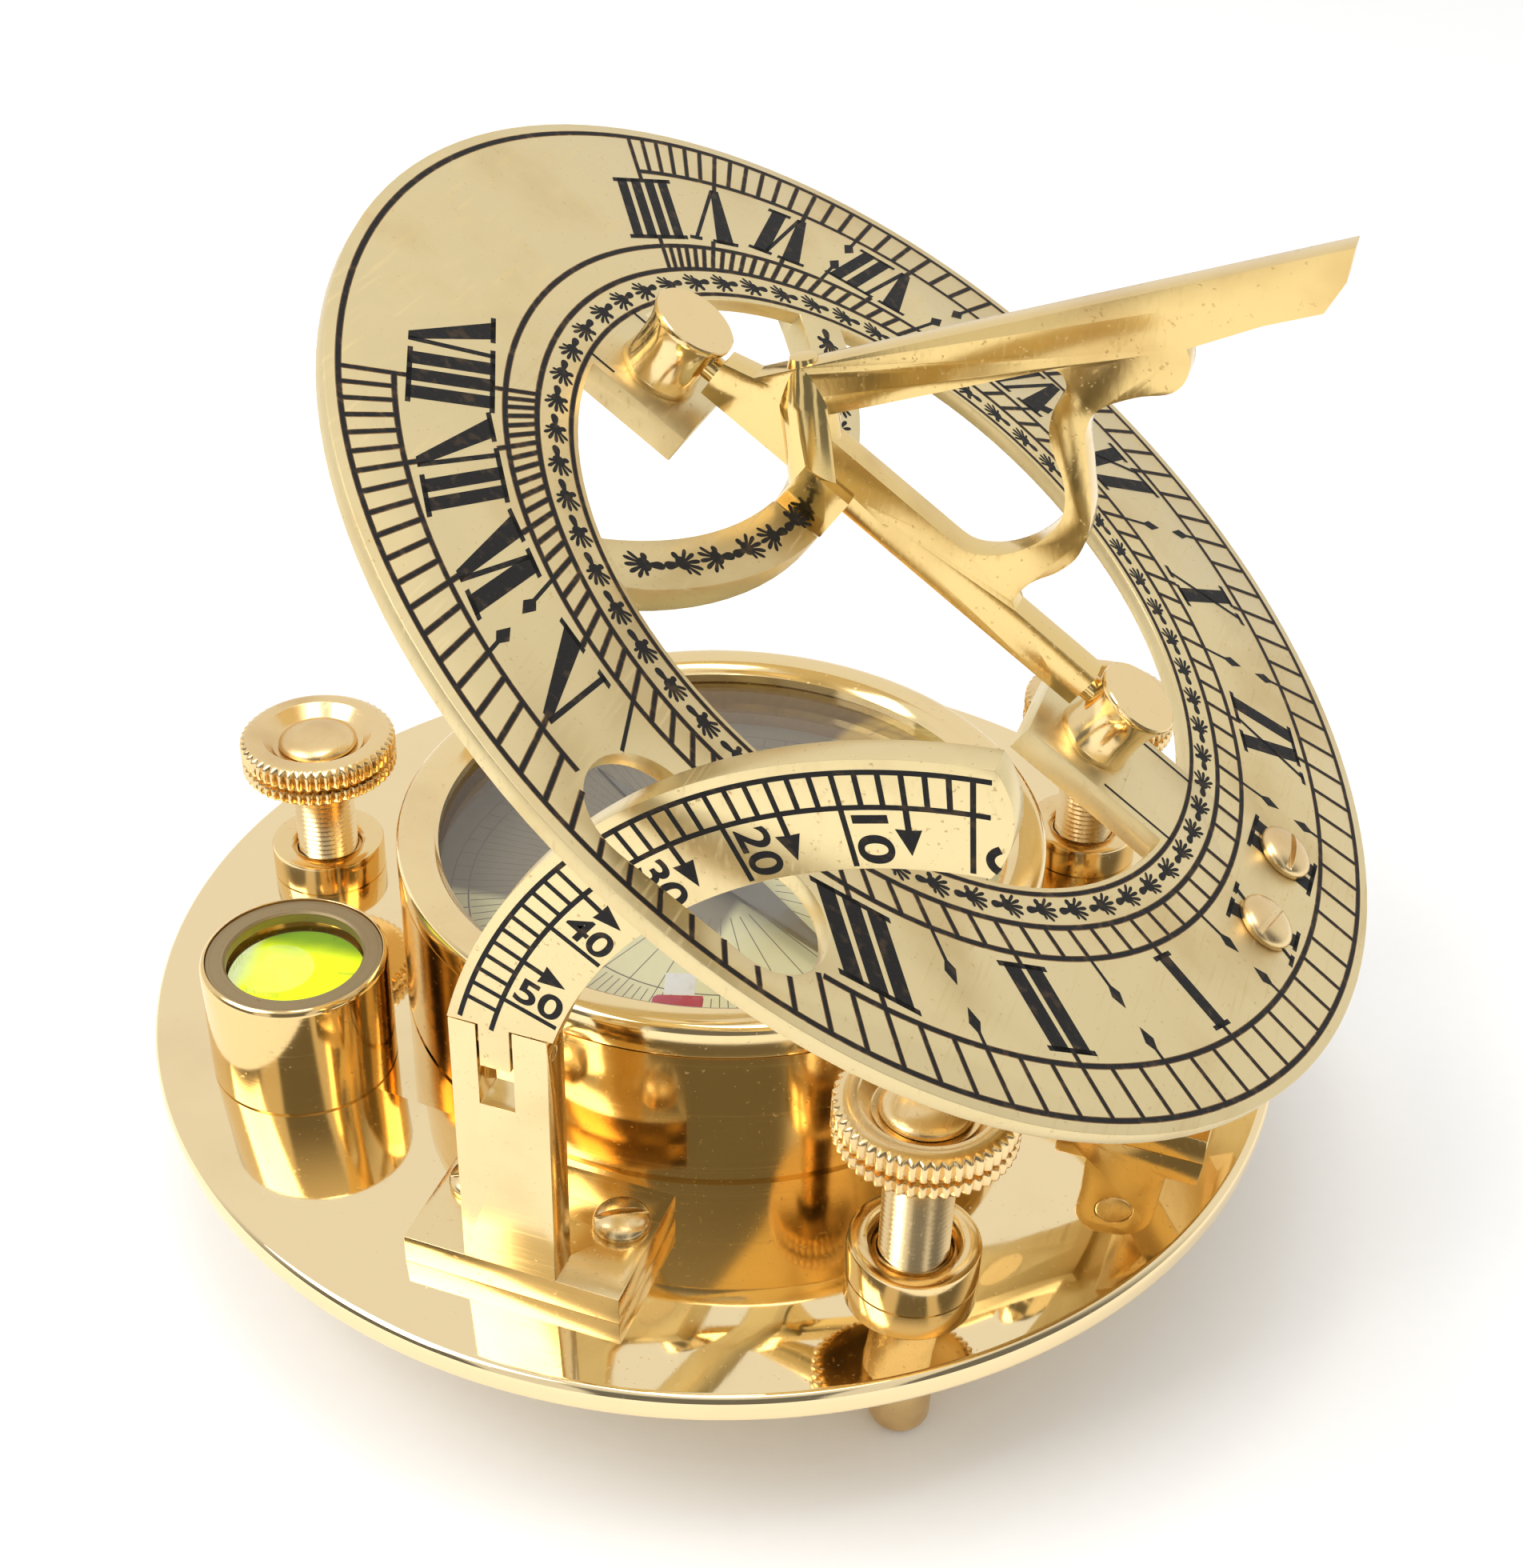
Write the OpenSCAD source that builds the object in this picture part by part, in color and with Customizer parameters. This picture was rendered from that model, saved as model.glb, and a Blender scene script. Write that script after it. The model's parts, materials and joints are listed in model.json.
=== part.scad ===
// Inclining sundial over a compass, with three levelling screws and a bull's-eye level.
// Millimetres. +X is noon on the base, -Y the afternoon side, +Z up.
// The origin is on the centre line of the base, at the height of the foot tips.

/* [Base] */
// Radius of the base plate
base_r = 57.5; // [56.5:0.5:62]
// Thickness of the base plate
base_t = 3; // [2.6:0.1:4]
// Rounding of the base plate's edge
base_round = 0.9; // [0.4:0.1:1.2]
// Height of the base plate's underside above the foot tips
base_lift = 17; // [14:0.5:20]

/* [Levelling screws] */
// Distance of each levelling screw from the centre
foot_circle_r = 45.7; // [44.5:0.1:46]
// Angle of the two noon-side levelling screws away from noon
foot_angle = 47.5; // [44:0.5:52]
// Radius of the threaded shank
shank_r = 3.2; // [2.9:0.1:3.5]
// Radius of the plain tip that stands on the table
tip_r = 2.9; // [2.4:0.1:3.2]
// Rounding of the tip's lower edge
tip_round = 1.5; // [0.8:0.1:1.8]
// Length of the plain tip
tip_len = 11; // [7:0.5:12]
// Radius of the knurled head
head_r = 8.1; // [7.6:0.1:8.6]
// Height of the knurled head
head_h = 4.4; // [4:0.1:5]
// Height of the heads' tops above the base plate
head_top = 20.4; // [19:0.1:20.6]
// How much lower the left screw's head stands
left_head_drop = 3.1; // [0:0.1:3.6]
// Rounding of the head's edges
head_edge = 0.3; // [0.2:0.05:0.4]
// Radius of the recess in the top of the head, at its rim
recess_r = 5.8; // [5.2:0.1:6.2]
// Radius of the recess in the top of the head, at its floor
recess_floor_r = 4.6; // [4.4:0.1:5]
// Depth of the recess in the top of the head
recess_d = 1.4; // [1:0.1:2]
// Depth of the groove between the two knurled bands
band_groove_d = 0.7; // [0.4:0.1:1]
// Height of the groove between the two knurled bands
band_groove_h = 0.8; // [0.5:0.1:1.2]
// Radius of the shank's neck, on which the head is riveted
neck_r = 2.4; // [1.8:0.1:2.6]
// Radius of the riveted dome over the head
dome_r = 4.1; // [3:0.1:4.2]
// Height of the riveted dome over the head
dome_h = 1.5; // [0.8:0.1:1.6]
// Radius of the threaded bushes in the base plate
bush_r = 6; // [5.6:0.1:6.6]
// Height of the bushes above the base plate
bush_h = 3.6; // [3:0.1:5]
// Radius of the bushes' spigots through the base plate
spigot_r = 4.6; // [4.2:0.1:5]
// Chamfer on the bushes' upper edge
bush_chamfer = 0.3; // [0.2:0.1:0.6]
// Radius of the countersunk mouth of each bush
bush_mouth_r = 4.2; // [3.8:0.1:4.6]
// Radial clearance of every pin, shank and neck that turns or slides
run_gap = 0.05; // [0.03:0.01:0.08]
// Gap between faces of pieces that move past each other
side_gap = 0.3; // [0.2:0.05:0.4]

/* [Bull's-eye level] */
// Direction of the level from the centre, counted from noon
level_angle = 220.9; // [218:0.1:224]
// Gap between the level and the compass case
level_gap = 2.2; // [1.6:0.1:3]
// Radius of the level
level_r = 8.9; // [8.4:0.1:9.2]
// Height of the level
level_h = 12.7; // [11.5:0.1:14]
// Wall of the level
level_wall = 1.2; // [1:0.1:1.5]
// Radius of the level's window
level_window_r = 6.5; // [6:0.1:6.8]
// Thickness of the level's glass
level_glass_t = 1.2; // [0.8:0.1:1.5]
// Depth of the glass below the level's rim
level_glass_d = 1.4; // [1:0.1:1.8]
// Depth of the ring over the glass below the level's rim
level_ring_d = 0.2; // [0.1:0.05:0.3]
// Bevel of that ring towards the window
level_bevel = 0.6; // [0.3:0.1:0.8]
// Radius of the bubble
bubble_r = 3.6; // [2.5:0.1:4]
// Depth of the bubble
bubble_d = 1.1; // [0.6:0.1:1.5]
// Shift of the bubble away from the level's centre
bubble_shift = 2.2; // [0:0.1:2.4]

/* [Compass] */
// Outer radius of the compass case
case_r = 32.3; // [30:0.1:32.4]
// Height of the whole compass above the base plate
case_h = 18.6; // [17.4:0.1:19.4]
// Wall of the compass case
case_wall = 2.4; // [2:0.1:3]
// Floor of the compass case
case_floor = 2; // [1.6:0.1:3]
// Height of the bezel at the top of the case
bezel_h = 3.4; // [3:0.1:4]
// How far the bezel's lip reaches in over the glass from the case's wall
bezel_lip = 1.7; // [1.2:0.1:3]
// Distance of the screws under the compass from its centre
case_screw_r = 17.8; // [12:0.2:22]
// Width of the case's wall under the glass
glass_seat = 1; // [0.6:0.1:1.4]
// Thickness of the compass glass
glass_t = 1.4; // [1:0.1:1.8]
// Height of the shoulder that carries the card, above the base plate
card_h = 9.4; // [7.4:0.1:10]
// Width of the shoulder that carries the card
card_seat = 2.6; // [1.5:0.1:3.5]
// Thickness of the compass card
card_t = 0.5; // [0.3:0.1:1]
// Length of the compass needle
needle_len = 44; // [36:1:48]
// Width of the compass needle
needle_w = 4.4; // [3:0.1:6]
// Thickness of the compass needle
needle_t = 0.6; // [0.4:0.1:1]
// Height of the needle above the card
needle_lift = 1.8; // [1.4:0.1:2]
// Direction in which the needle points, counted from noon
needle_angle = -32; // [-90:1:90]
// Radius of the pivot pin
pivot_r = 0.7; // [0.5:0.1:0.9]
// Outer radius of the needle's cap
cap_r = 1.7; // [1.5:0.1:2.2]
// Height of the needle's cap
cap_h = 2.4; // [2.2:0.1:2.6]
// Depth of the bore in the needle's cap
cap_bore_d = 1.7; // [1.5:0.1:1.8]
// Thickness of the cap's rims above and below the needle
cap_rim = 0.5; // [0.4:0.05:0.6]

/* [Hinge] */
// Distance of the hinge axis from the centre
hinge_x = 46; // [45:0.5:47]
// Height of the hinge axis above the base plate
hinge_h = 9.2; // [8.6:0.1:11]
// Radius of the hinge knuckles
knuckle_r = 4; // [3.6:0.1:4.4]
// Radius of the hinge pin
hinge_pin_r = 2; // [1.6:0.1:2.3]
// Width of the leaf's barrel between the cheeks
barrel_w = 14.4; // [12:0.2:16]
// Thickness of each cheek
cheek_t = 4.2; // [3.6:0.1:5]
// Depth of the hinge block along noon
block_d = 14; // [12:0.5:15]
// Thickness of the hinge block's foot
block_foot_t = 3; // [2:0.1:3.6]
// Width of the leaf plate under the ring
leaf_w = 20; // [18:0.5:24]
// Depth of the leaf plate along noon
leaf_d = 12; // [11:0.5:13]
// Thickness of the leaf plate
leaf_t = 2.5; // [2:0.1:3]
// Thickness of the leaf's web
web_t = 5; // [4:0.1:6]

/* [Hour ring] */
// Tilt of the ring, noon side down
dial_tilt = 33.7; // [28:0.1:40]
// Distance of the ring's centre from the hinge axis, along the ring
ring_reach = 46.9; // [46:0.1:48]
// Height of the ring's face over the hinge axis
ring_stand = 17.2; // [16:0.1:18]
// Outer radius of the hour ring
ring_r = 55.8; // [55:0.1:57]
// Radius of the ring's opening
opening_r = 33.1; // [32:0.1:34]
// Thickness of the hour ring
ring_t = 1.5; // [1.3:0.1:2]
// Length of the slot for the latitude arc
slot_len = 22.1; // [21.5:0.1:24]
// Width of the slot for the latitude arc
slot_w = 10.5; // [9.8:0.1:10.6]
// Place of the slot's middle along noon
slot_u = -0.8; // [-1.5:0.1:0]
// Distance of the slot's middle from the noon line
slot_v = 46.95; // [46.6:0.05:47.2]
// Half width of the tabs that carry the studs
tab_half = 5.8; // [5.2:0.1:6.4]
// Thickness of the tabs
tab_t = 2.8; // [2.6:0.1:3.6]
// Place of the noon tab's end
noon_tab_u = 17; // [16:0.5:18]
// Place of the midnight tab's end
midnight_tab_u = -22.4; // [-24:0.2:-22]
// Radius of the bow's middle line
bow_r = 39.7; // [39:0.1:42]
// Place of the bow's apex along noon
bow_apex_u = -10.4; // [-11:0.1:-9.5]
// Width of the bow's band
bow_w = 5; // [4.6:0.1:6]
// Thickness of the bow
bow_t = 3; // [2.8:0.1:4]
// Place of the ring screws along noon
ring_screw_u = 44.8; // [44:0.1:46]
// Distance of each ring screw from the noon line
ring_screw_v = 5.6; // [5:0.1:6.5]

/* [Gnomon] */
// Height of the gnomon's fold axis over the ring's face
fold_w = 3.8; // [3.7:0.05:3.8]
// Thickness of the gnomon
gnomon_t = 2.8; // [2.6:0.1:3.4]
// Angle of the style over the ring's face
style_angle = 55.5; // [50:0.5:60]
// Place of the style's foot along noon
style_foot_u = -21.2; // [-21.6:0.1:-20.8]
// Length of the style's upper edge
style_len = 51.6; // [49:0.1:52]
// Depth of the style's beam
style_d = 4.6; // [4.2:0.1:5]
// Height of the bar between the studs
bar_h = 3.7; // [3:0.1:4]
// Radius of the gnomon's trunnions
trunnion_r = 1.2; // [0.9:0.1:1.4]
// Radius of the rounded column on the gnomon's sides
column_r = 2.6; // [2.4:0.1:3]
// Radius of the column's rounded lower end about the fold axis
heel_r = 5.3; // [5:0.1:5.4]
// Place of the noon stud
noon_stud_u = 23; // [22.6:0.1:23.6]
// Place of the midnight stud
midnight_stud_u = -28.2; // [-28.8:0.1:-27.8]
// Height of the studs over the ring's face
stud_h = 6.4; // [6.4:0.1:7.2]
// Radius of the studs' top disc
stud_top_r = 3.9; // [3.6:0.1:4.1]
// Thickness of the studs' top disc
stud_top_t = 1.3; // [0.8:0.1:1.3]
// Radius of the studs' waist
stud_waist_r = 3; // [2.7:0.1:3.3]
// Radius of the studs' foot ring
stud_foot_r = 3.6; // [3.4:0.1:4]
// Thickness of the studs' foot ring
stud_foot_t = 1.2; // [0.8:0.1:1.6]

/* [Latitude arc] */
// Place of the latitude arc's centre along noon
arc_centre_x = 39.2; // [38.8:0.1:39.6]
// Height of the latitude arc's centre above the base plate
arc_centre_h = 19; // [18:0.1:20]
// Inner radius of the latitude arc
arc_in_r = 37.1; // [36.6:0.1:38]
// Outer radius of the latitude arc
arc_out_r = 46; // [45.4:0.1:46.6]
// Thickness of the latitude arc
arc_t = 2.6; // [2:0.1:2.7]
// Distance of the arc's outer face from the noon line
arc_face_y = 49.2; // [48.8:0.1:49.4]
// Elevation at which the arc ends, seen from its centre
arc_end = 86.8; // [84:0.1:88]
// How far the arc's end bulges towards noon
arc_end_bulge = 1.5; // [1:0.1:2]
// Width of the arc's tang
tang_w = 2.7; // [2.2:0.1:3]
// Length of the arc's tang
tang_len = 4.4; // [4:0.1:5]

/* [Arc bracket] */
// Left edge of the bracket's post
post_x = -5.3; // [-5.6:0.1:-5]
// Width of the bracket's post
post_w = 8.6; // [8.4:0.1:9]
// Thickness of the bracket's post
post_t = 3.3; // [3:0.1:3.6]
// Height of the bracket's post above the base plate
post_h = 30.2; // [29.6:0.1:30.6]
// Place of the notch from the post's left edge
notch_in = 2.4; // [2:0.1:2.8]
// Width of the notch between the prongs
notch_w = 3.2; // [3:0.1:3.6]
// Depth of the notch between the prongs
notch_d = 8.5; // [7:0.1:10]
// Radius of the arc's pin
arc_pin_r = 0.7; // [0.5:0.1:0.8]
// Length of the bracket's foot
foot_len = 20.4; // [19:0.2:22]
// Gap between the bracket's foot and the compass case
foot_gap = 3.7; // [3.5:0.1:5]
// Thickness of the bracket's foot
foot_t = 3; // [2.4:0.1:3.6]
// Distance of each bracket screw from the foot's end
foot_screw_in = 3.2; // [3:0.1:3.6]
// Distance of the bracket screws from the post's outer face
foot_screw_y = 8.4; // [7.6:0.1:9]

/* [Screws] */
// Radius of the round screw heads
screw_head_r = 2.6; // [2.2:0.1:2.8]
// Height of the round screw heads
screw_head_h = 1.5; // [1.2:0.1:2]
// Radius of the screw shanks
screw_r = 1.3; // [1:0.1:1.5]
// Width of the driver slots
driver_w = 0.7; // [0.5:0.1:1]
// Depth of the driver slots
driver_d = 0.8; // [0.5:0.1:1]
// Directions of the driver slots: ring, ring, bracket
slot_turns = [75, 100, 30];

/* [Hidden] */
$fn = 96;
screw_side_h = screw_head_h * 0.6;
screw_crown_r = screw_head_r * 0.72;
cut = 1;
skim = 0.01;
plate_z = base_lift + base_t;
front_foot = [foot_circle_r * cos(foot_angle), -foot_circle_r * sin(foot_angle)];
back_foot = [front_foot[0], -front_foot[1]];
left_foot = [-foot_circle_r, 0];
head_low = head_top - head_h;
shoulder_gap = run_gap;

glass_low = level_h - level_glass_d - level_glass_t;
level_in_r = level_r - level_wall;
level_floor = 2;
level_skin = 0.5;
level_screw_d = level_floor - level_skin;
level_reach = case_r + level_gap + level_r;
level_x = level_reach * cos(level_angle);
level_y = level_reach * sin(level_angle);

bezel_foot = case_h - bezel_h;
bezel_edge = 0.8;
case_in_r = case_r - case_wall;
window_r = case_in_r - bezel_lip;
pivot_low = case_floor / 2;
glass_r = case_in_r + glass_seat;
card_top = card_h + card_t;
needle_low = card_top + needle_lift;
cap_neck_r = cap_r * 0.75;

hinge_z = plate_z + hinge_h;
cheek_in = barrel_w / 2 + side_gap;
block_w = 2 * (cheek_in + cheek_t);
block_screw_d = block_foot_t + 0.8;
cheek_mid = cheek_in + cheek_t / 2;
leaf_top = -ring_t;
leaf_low = leaf_top - leaf_t;

bow_centre_u = bow_apex_u - bow_r;
cradle_r = heel_r + side_gap;
bar_low = fold_w - bar_h / 2;
bar_ends = [midnight_stud_u + stud_top_r + side_gap, noon_stud_u - stud_top_r - side_gap];
trunnion_in = 1.6;
tab_over = 2;
bar_upper = 6.8;
heel_ends = [-12.9, -7.9];
heel_inset = 0.6;
heel_margin = 0.2;
bar_dip = 1;
style_foot_w = 6.5;
column_foot = [-11, 1.8];
column_top = [-16.4, 7.6];
column_taper = 4;
stud_pin_r = 2;
rivet_h = 0.9;
rivet_r = stud_pin_r + rivet_h;

arc_back_y = -arc_face_y + arc_t;
arc_mid_y = -arc_face_y + arc_t / 2;
arc_centre_z = plate_z + arc_centre_h;
end_lap = 3;
post_top = plate_z + post_h;
tang_x = post_x + notch_in + (notch_w - tang_w) / 2;
tang_low = post_top + side_gap / 2 - tang_len;
tang_lip = 0.8;
arc_pin_z = tang_low + 2 * arc_pin_r + tang_lip;
foot_x = post_x + post_w / 2 - foot_len / 2;
foot_d = arc_face_y - foot_gap - case_r;

// Places children on the base plate's upper face.
module on_plate() {
    translate([0, 0, plate_z]) children();
}

// Places children in the ring's own frame: x towards noon, z up from its face.
module on_ring() {
    translate([hinge_x, 0, hinge_z]) rotate([0, dial_tilt, 0])
        translate([-ring_reach, 0, ring_stand]) children();
}

// Repeats children at the three levelling screws.
module at_feet() {
    for (place = [front_foot, back_foot, left_foot])
        translate([place[0], place[1], 0]) children();
}

// Repeats children at three places round the compass.
module at_case_screws() {
    for (turn = [60, 180, 300])
        rotate([0, 0, turn]) translate([case_screw_r, 0, 0]) children();
}

// A disc with both edges rounded.
module rounded_disc(r, h, edge) {
    rotate_extrude() {
        square([r - edge, h]);
        translate([0, edge]) square([r, h - 2 * edge]);
        for (level = [edge, h - edge])
            intersection() {
                translate([r - edge, level]) circle(edge);
                translate([0, -cut]) square([r + cut, h + 2 * cut]);
            }
    }
}

// A round-headed screw with a driver slot, its head on z = 0 and its shank below.
module round_screw(len, turn = 0) {
    difference() {
        union() {
            translate([0, 0, -len]) cylinder(h = len + screw_side_h, r = screw_r);
            cylinder(h = screw_side_h, r = screw_head_r);
            translate([0, 0, screw_side_h])
                cylinder(h = screw_head_h - screw_side_h, r1 = screw_head_r, r2 = screw_crown_r);
        }
        rotate([0, 0, turn]) translate([-screw_head_r - cut, -driver_w / 2, screw_head_h - driver_d])
            cube([2 * (screw_head_r + cut), driver_w, driver_d + cut]);
    }
}

// A countersunk screw from below: its head is flush with z = 0 and its shank above.
module sunk_screw(len, slot = true) {
    difference() {
        union() {
            cylinder(h = screw_head_r - screw_r, r1 = screw_head_r, r2 = screw_r);
            cylinder(h = len, r = screw_r);
        }
        if (slot)
            translate([-screw_head_r - cut, -driver_w / 2, -cut])
                cube([2 * (screw_head_r + cut), driver_w, driver_d / 2 + cut]);
    }
}

// The polished round plate, bored for bushes and screws.
module base_plate() {
    color("gold") difference() {
        translate([0, 0, base_lift]) rounded_disc(base_r, base_t, base_round);
        at_feet() translate([0, 0, base_lift - cut]) cylinder(h = base_t + 2 * cut, r = spigot_r);
        base_screw_bores();
    }
}

// The holes in the base plate for every screw that enters it.
module base_screw_bores() {
    translate([0, 0, base_lift]) {
        at_case_screws() sunk_screw(base_t + cut, false);
        translate([level_x, level_y, 0]) sunk_screw(base_t + cut, false);
        for (side = [-1, 1])
            translate([hinge_x, side * cheek_mid, 0]) sunk_screw(base_t + cut, false);
    }
    bracket_screw_places() translate([0, 0, base_lift - cut])
        cylinder(h = base_t + 2 * cut, r = screw_r);
}

// The three threaded bushes, each a collar on the plate with a spigot through it.
module foot_bushes() {
    mouth_d = bush_mouth_r - shank_r;
    color("goldenrod") at_feet() difference() {
        union() {
            translate([0, 0, base_lift]) cylinder(h = base_t + cut, r = spigot_r);
            translate([0, 0, plate_z]) cylinder(h = bush_h - bush_chamfer, r = bush_r);
            translate([0, 0, plate_z + bush_h - bush_chamfer])
                cylinder(h = bush_chamfer, r1 = bush_r, r2 = bush_r - bush_chamfer);
        }
        translate([0, 0, base_lift - cut])
            cylinder(h = base_t + bush_h + 2 * cut, r = shank_r + run_gap);
        translate([0, 0, plate_z + bush_h - mouth_d])
            cylinder(h = mouth_d + skim, r1 = shank_r, r2 = bush_mouth_r);
    }
}

// A levelling screw's shank: plain tip, thread, neck and the dome riveted over the head.
module foot_shank(drop) {
    low = plate_z + head_low - drop - shoulder_gap;
    floor_z = plate_z + head_top - drop - recess_d + shoulder_gap;
    color("gold") {
        rotate_extrude() {
            square([tip_r - tip_round, tip_len]);
            translate([0, tip_round]) square([tip_r, tip_len - tip_round]);
            intersection() {
                translate([tip_r - tip_round, tip_round]) circle(tip_round);
                square([tip_r, tip_len]);
            }
        }
        translate([0, 0, tip_len]) cylinder(h = low - tip_len, r = shank_r);
        translate([0, 0, low]) cylinder(h = floor_z - low + dome_h / 2, r = neck_r);
        translate([0, 0, floor_z]) riveted_dome();
    }
}

// The low dome of a riveted end, flat below.
module riveted_dome() {
    ball_r = (dome_r * dome_r + dome_h * dome_h) / (2 * dome_h);
    intersection() {
        translate([0, 0, dome_h - ball_r]) sphere(ball_r);
        cylinder(h = dome_h + cut, r = dome_r + cut);
    }
}

module foot_shank_front() {
    translate([front_foot[0], front_foot[1], 0]) foot_shank(0);
}

module foot_shank_back() {
    translate([back_foot[0], back_foot[1], 0]) foot_shank(0);
}

module foot_shank_left() {
    translate([left_foot[0], left_foot[1], 0]) foot_shank(left_head_drop);
}

// A levelling screw's head: two knurled bands with a groove between, recessed on top.
module foot_head(drop) {
    color("gold") translate([0, 0, plate_z + head_low - drop]) difference() {
        rounded_disc(head_r, head_h, head_edge);
        translate([0, 0, head_h - recess_d])
            cylinder(h = recess_d + skim, r1 = recess_floor_r, r2 = recess_r);
        translate([0, 0, -cut]) cylinder(h = head_h + 2 * cut, r = neck_r + run_gap);
        translate([0, 0, (head_h - band_groove_h) / 2]) difference() {
            cylinder(h = band_groove_h, r = head_r + cut);
            translate([0, 0, -cut])
                cylinder(h = band_groove_h + 2 * cut, r = head_r - band_groove_d);
        }
    }
}

module foot_head_front() {
    translate([front_foot[0], front_foot[1], 0]) foot_head(0);
}

module foot_head_back() {
    translate([back_foot[0], back_foot[1], 0]) foot_head(0);
}

module foot_head_left() {
    translate([left_foot[0], left_foot[1], 0]) foot_head(left_head_drop);
}

// Places children at the level, on the base plate's upper face.
module at_level() {
    translate([level_x, level_y, plate_z]) children();
}

// The level's cup: a turned pot with a seat for the glass below its rim.
module level_cup() {
    color("goldenrod") at_level() difference() {
        cylinder(h = level_h, r = level_r);
        translate([0, 0, level_floor]) cylinder(h = level_h, r = level_window_r);
        translate([0, 0, glass_low]) cylinder(h = level_h, r = level_in_r);
        translate([0, 0, -cut]) cylinder(h = level_screw_d + cut, r = screw_r);
    }
}

// The ring that holds the glass down, bevelled towards the window.
module level_ring() {
    low = glass_low + level_glass_t;
    top = level_h - level_ring_d;
    color("gold") at_level() difference() {
        translate([0, 0, low]) cylinder(h = top - low, r = level_in_r);
        translate([0, 0, low - cut]) cylinder(h = level_h, r = level_window_r);
        translate([0, 0, top - level_bevel])
            cylinder(h = level_bevel + skim, r1 = level_window_r, r2 = level_window_r + level_bevel);
    }
}

module level_glass() {
    color("honeydew", 0.4) at_level() translate([0, 0, glass_low])
        cylinder(h = level_glass_t, r = level_in_r);
}

// The flat lens of air under the level's glass.
module bubble_lens() {
    ball_r = (bubble_r * bubble_r + bubble_d * bubble_d) / (2 * bubble_d);
    translate([-bubble_shift, 0, glass_low]) intersection() {
        translate([0, 0, ball_r - bubble_d]) sphere(ball_r);
        translate([0, 0, -bubble_d - cut]) cylinder(h = bubble_d + cut, r = bubble_r + cut);
    }
}

module level_fluid() {
    color("greenyellow", 0.8) at_level() difference() {
        translate([0, 0, level_floor])
            cylinder(h = glass_low - level_floor, r = level_window_r);
        bubble_lens();
    }
}

module level_bubble() {
    color("white", 0.5) at_level() bubble_lens();
}

module level_screw() {
    color("goldenrod") translate([level_x, level_y, base_lift])
        sunk_screw(base_t + level_screw_d);
}

// The turned compass case: floor, shoulder for the card and wall for the bezel.
module compass_case() {
    color("goldenrod") on_plate() difference() {
        cylinder(h = bezel_foot, r = case_r);
        translate([0, 0, case_floor]) cylinder(h = case_h, r = case_in_r - card_seat);
        translate([0, 0, card_h]) cylinder(h = case_h, r = case_in_r);
        translate([0, 0, -cut]) at_case_screws() cylinder(h = case_floor + 2 * cut, r = screw_r);
        translate([0, 0, pivot_low]) cylinder(h = case_floor, r = pivot_r);
    }
}

// The bezel: a ring over the case whose lip holds the glass on the case's wall.
module compass_bezel() {
    color("gold") on_plate() difference() {
        union() {
            translate([0, 0, bezel_foot]) cylinder(h = bezel_h - bezel_edge, r = case_r);
            translate([0, 0, case_h - bezel_edge])
                cylinder(h = bezel_edge, r1 = case_r, r2 = case_r - bezel_edge);
        }
        translate([0, 0, bezel_foot - cut]) cylinder(h = glass_t + cut, r = glass_r);
        translate([0, 0, bezel_foot]) cylinder(h = case_h, r = window_r);
        translate([0, 0, case_h - bezel_edge])
            cylinder(h = bezel_edge + skim, r1 = window_r, r2 = window_r + bezel_edge);
    }
}

// The glass, which rests on the case's wall under the bezel's lip.
module compass_glass() {
    color("lightcyan", 0.3) on_plate() translate([0, 0, bezel_foot])
        cylinder(h = glass_t, r = glass_r);
}

module compass_card() {
    color("ivory") on_plate() translate([0, 0, card_h]) difference() {
        cylinder(h = card_t, r = case_in_r);
        translate([0, 0, -cut]) cylinder(h = card_t + 2 * cut, r = pivot_r);
    }
}

// The steel pin on which the needle turns.
module pivot_pin() {
    top = needle_low - cap_rim + cap_bore_d - side_gap;
    color("silver") on_plate() translate([0, 0, pivot_low])
        cylinder(h = top - pivot_low, r = pivot_r);
}

// The lozenge needle, bored for its cap.
module compass_needle() {
    color("silver") on_plate() rotate([0, 0, needle_angle]) translate([0, 0, needle_low])
        difference() {
            linear_extrude(needle_t) polygon([
                [-needle_len / 2, 0], [0, -needle_w / 2], [needle_len / 2, 0], [0, needle_w / 2]
            ]);
            translate([0, 0, -cut]) cylinder(h = needle_t + 2 * cut, r = cap_neck_r);
        }
}

// The needle's brass cap, with the blind bore that runs on the pin.
module needle_cap() {
    color("gold") on_plate() translate([0, 0, needle_low - cap_rim]) difference() {
        union() {
            cylinder(h = cap_rim, r = cap_r);
            cylinder(h = cap_h, r = cap_neck_r);
            translate([0, 0, cap_rim + needle_t]) cylinder(h = cap_rim, r = cap_r);
        }
        translate([0, 0, -cut]) cylinder(h = cap_bore_d + cut, r = pivot_r + run_gap);
    }
}

module compass_screws() {
    color("goldenrod") translate([0, 0, base_lift])
        at_case_screws() sunk_screw(base_t + case_floor);
}

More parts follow.
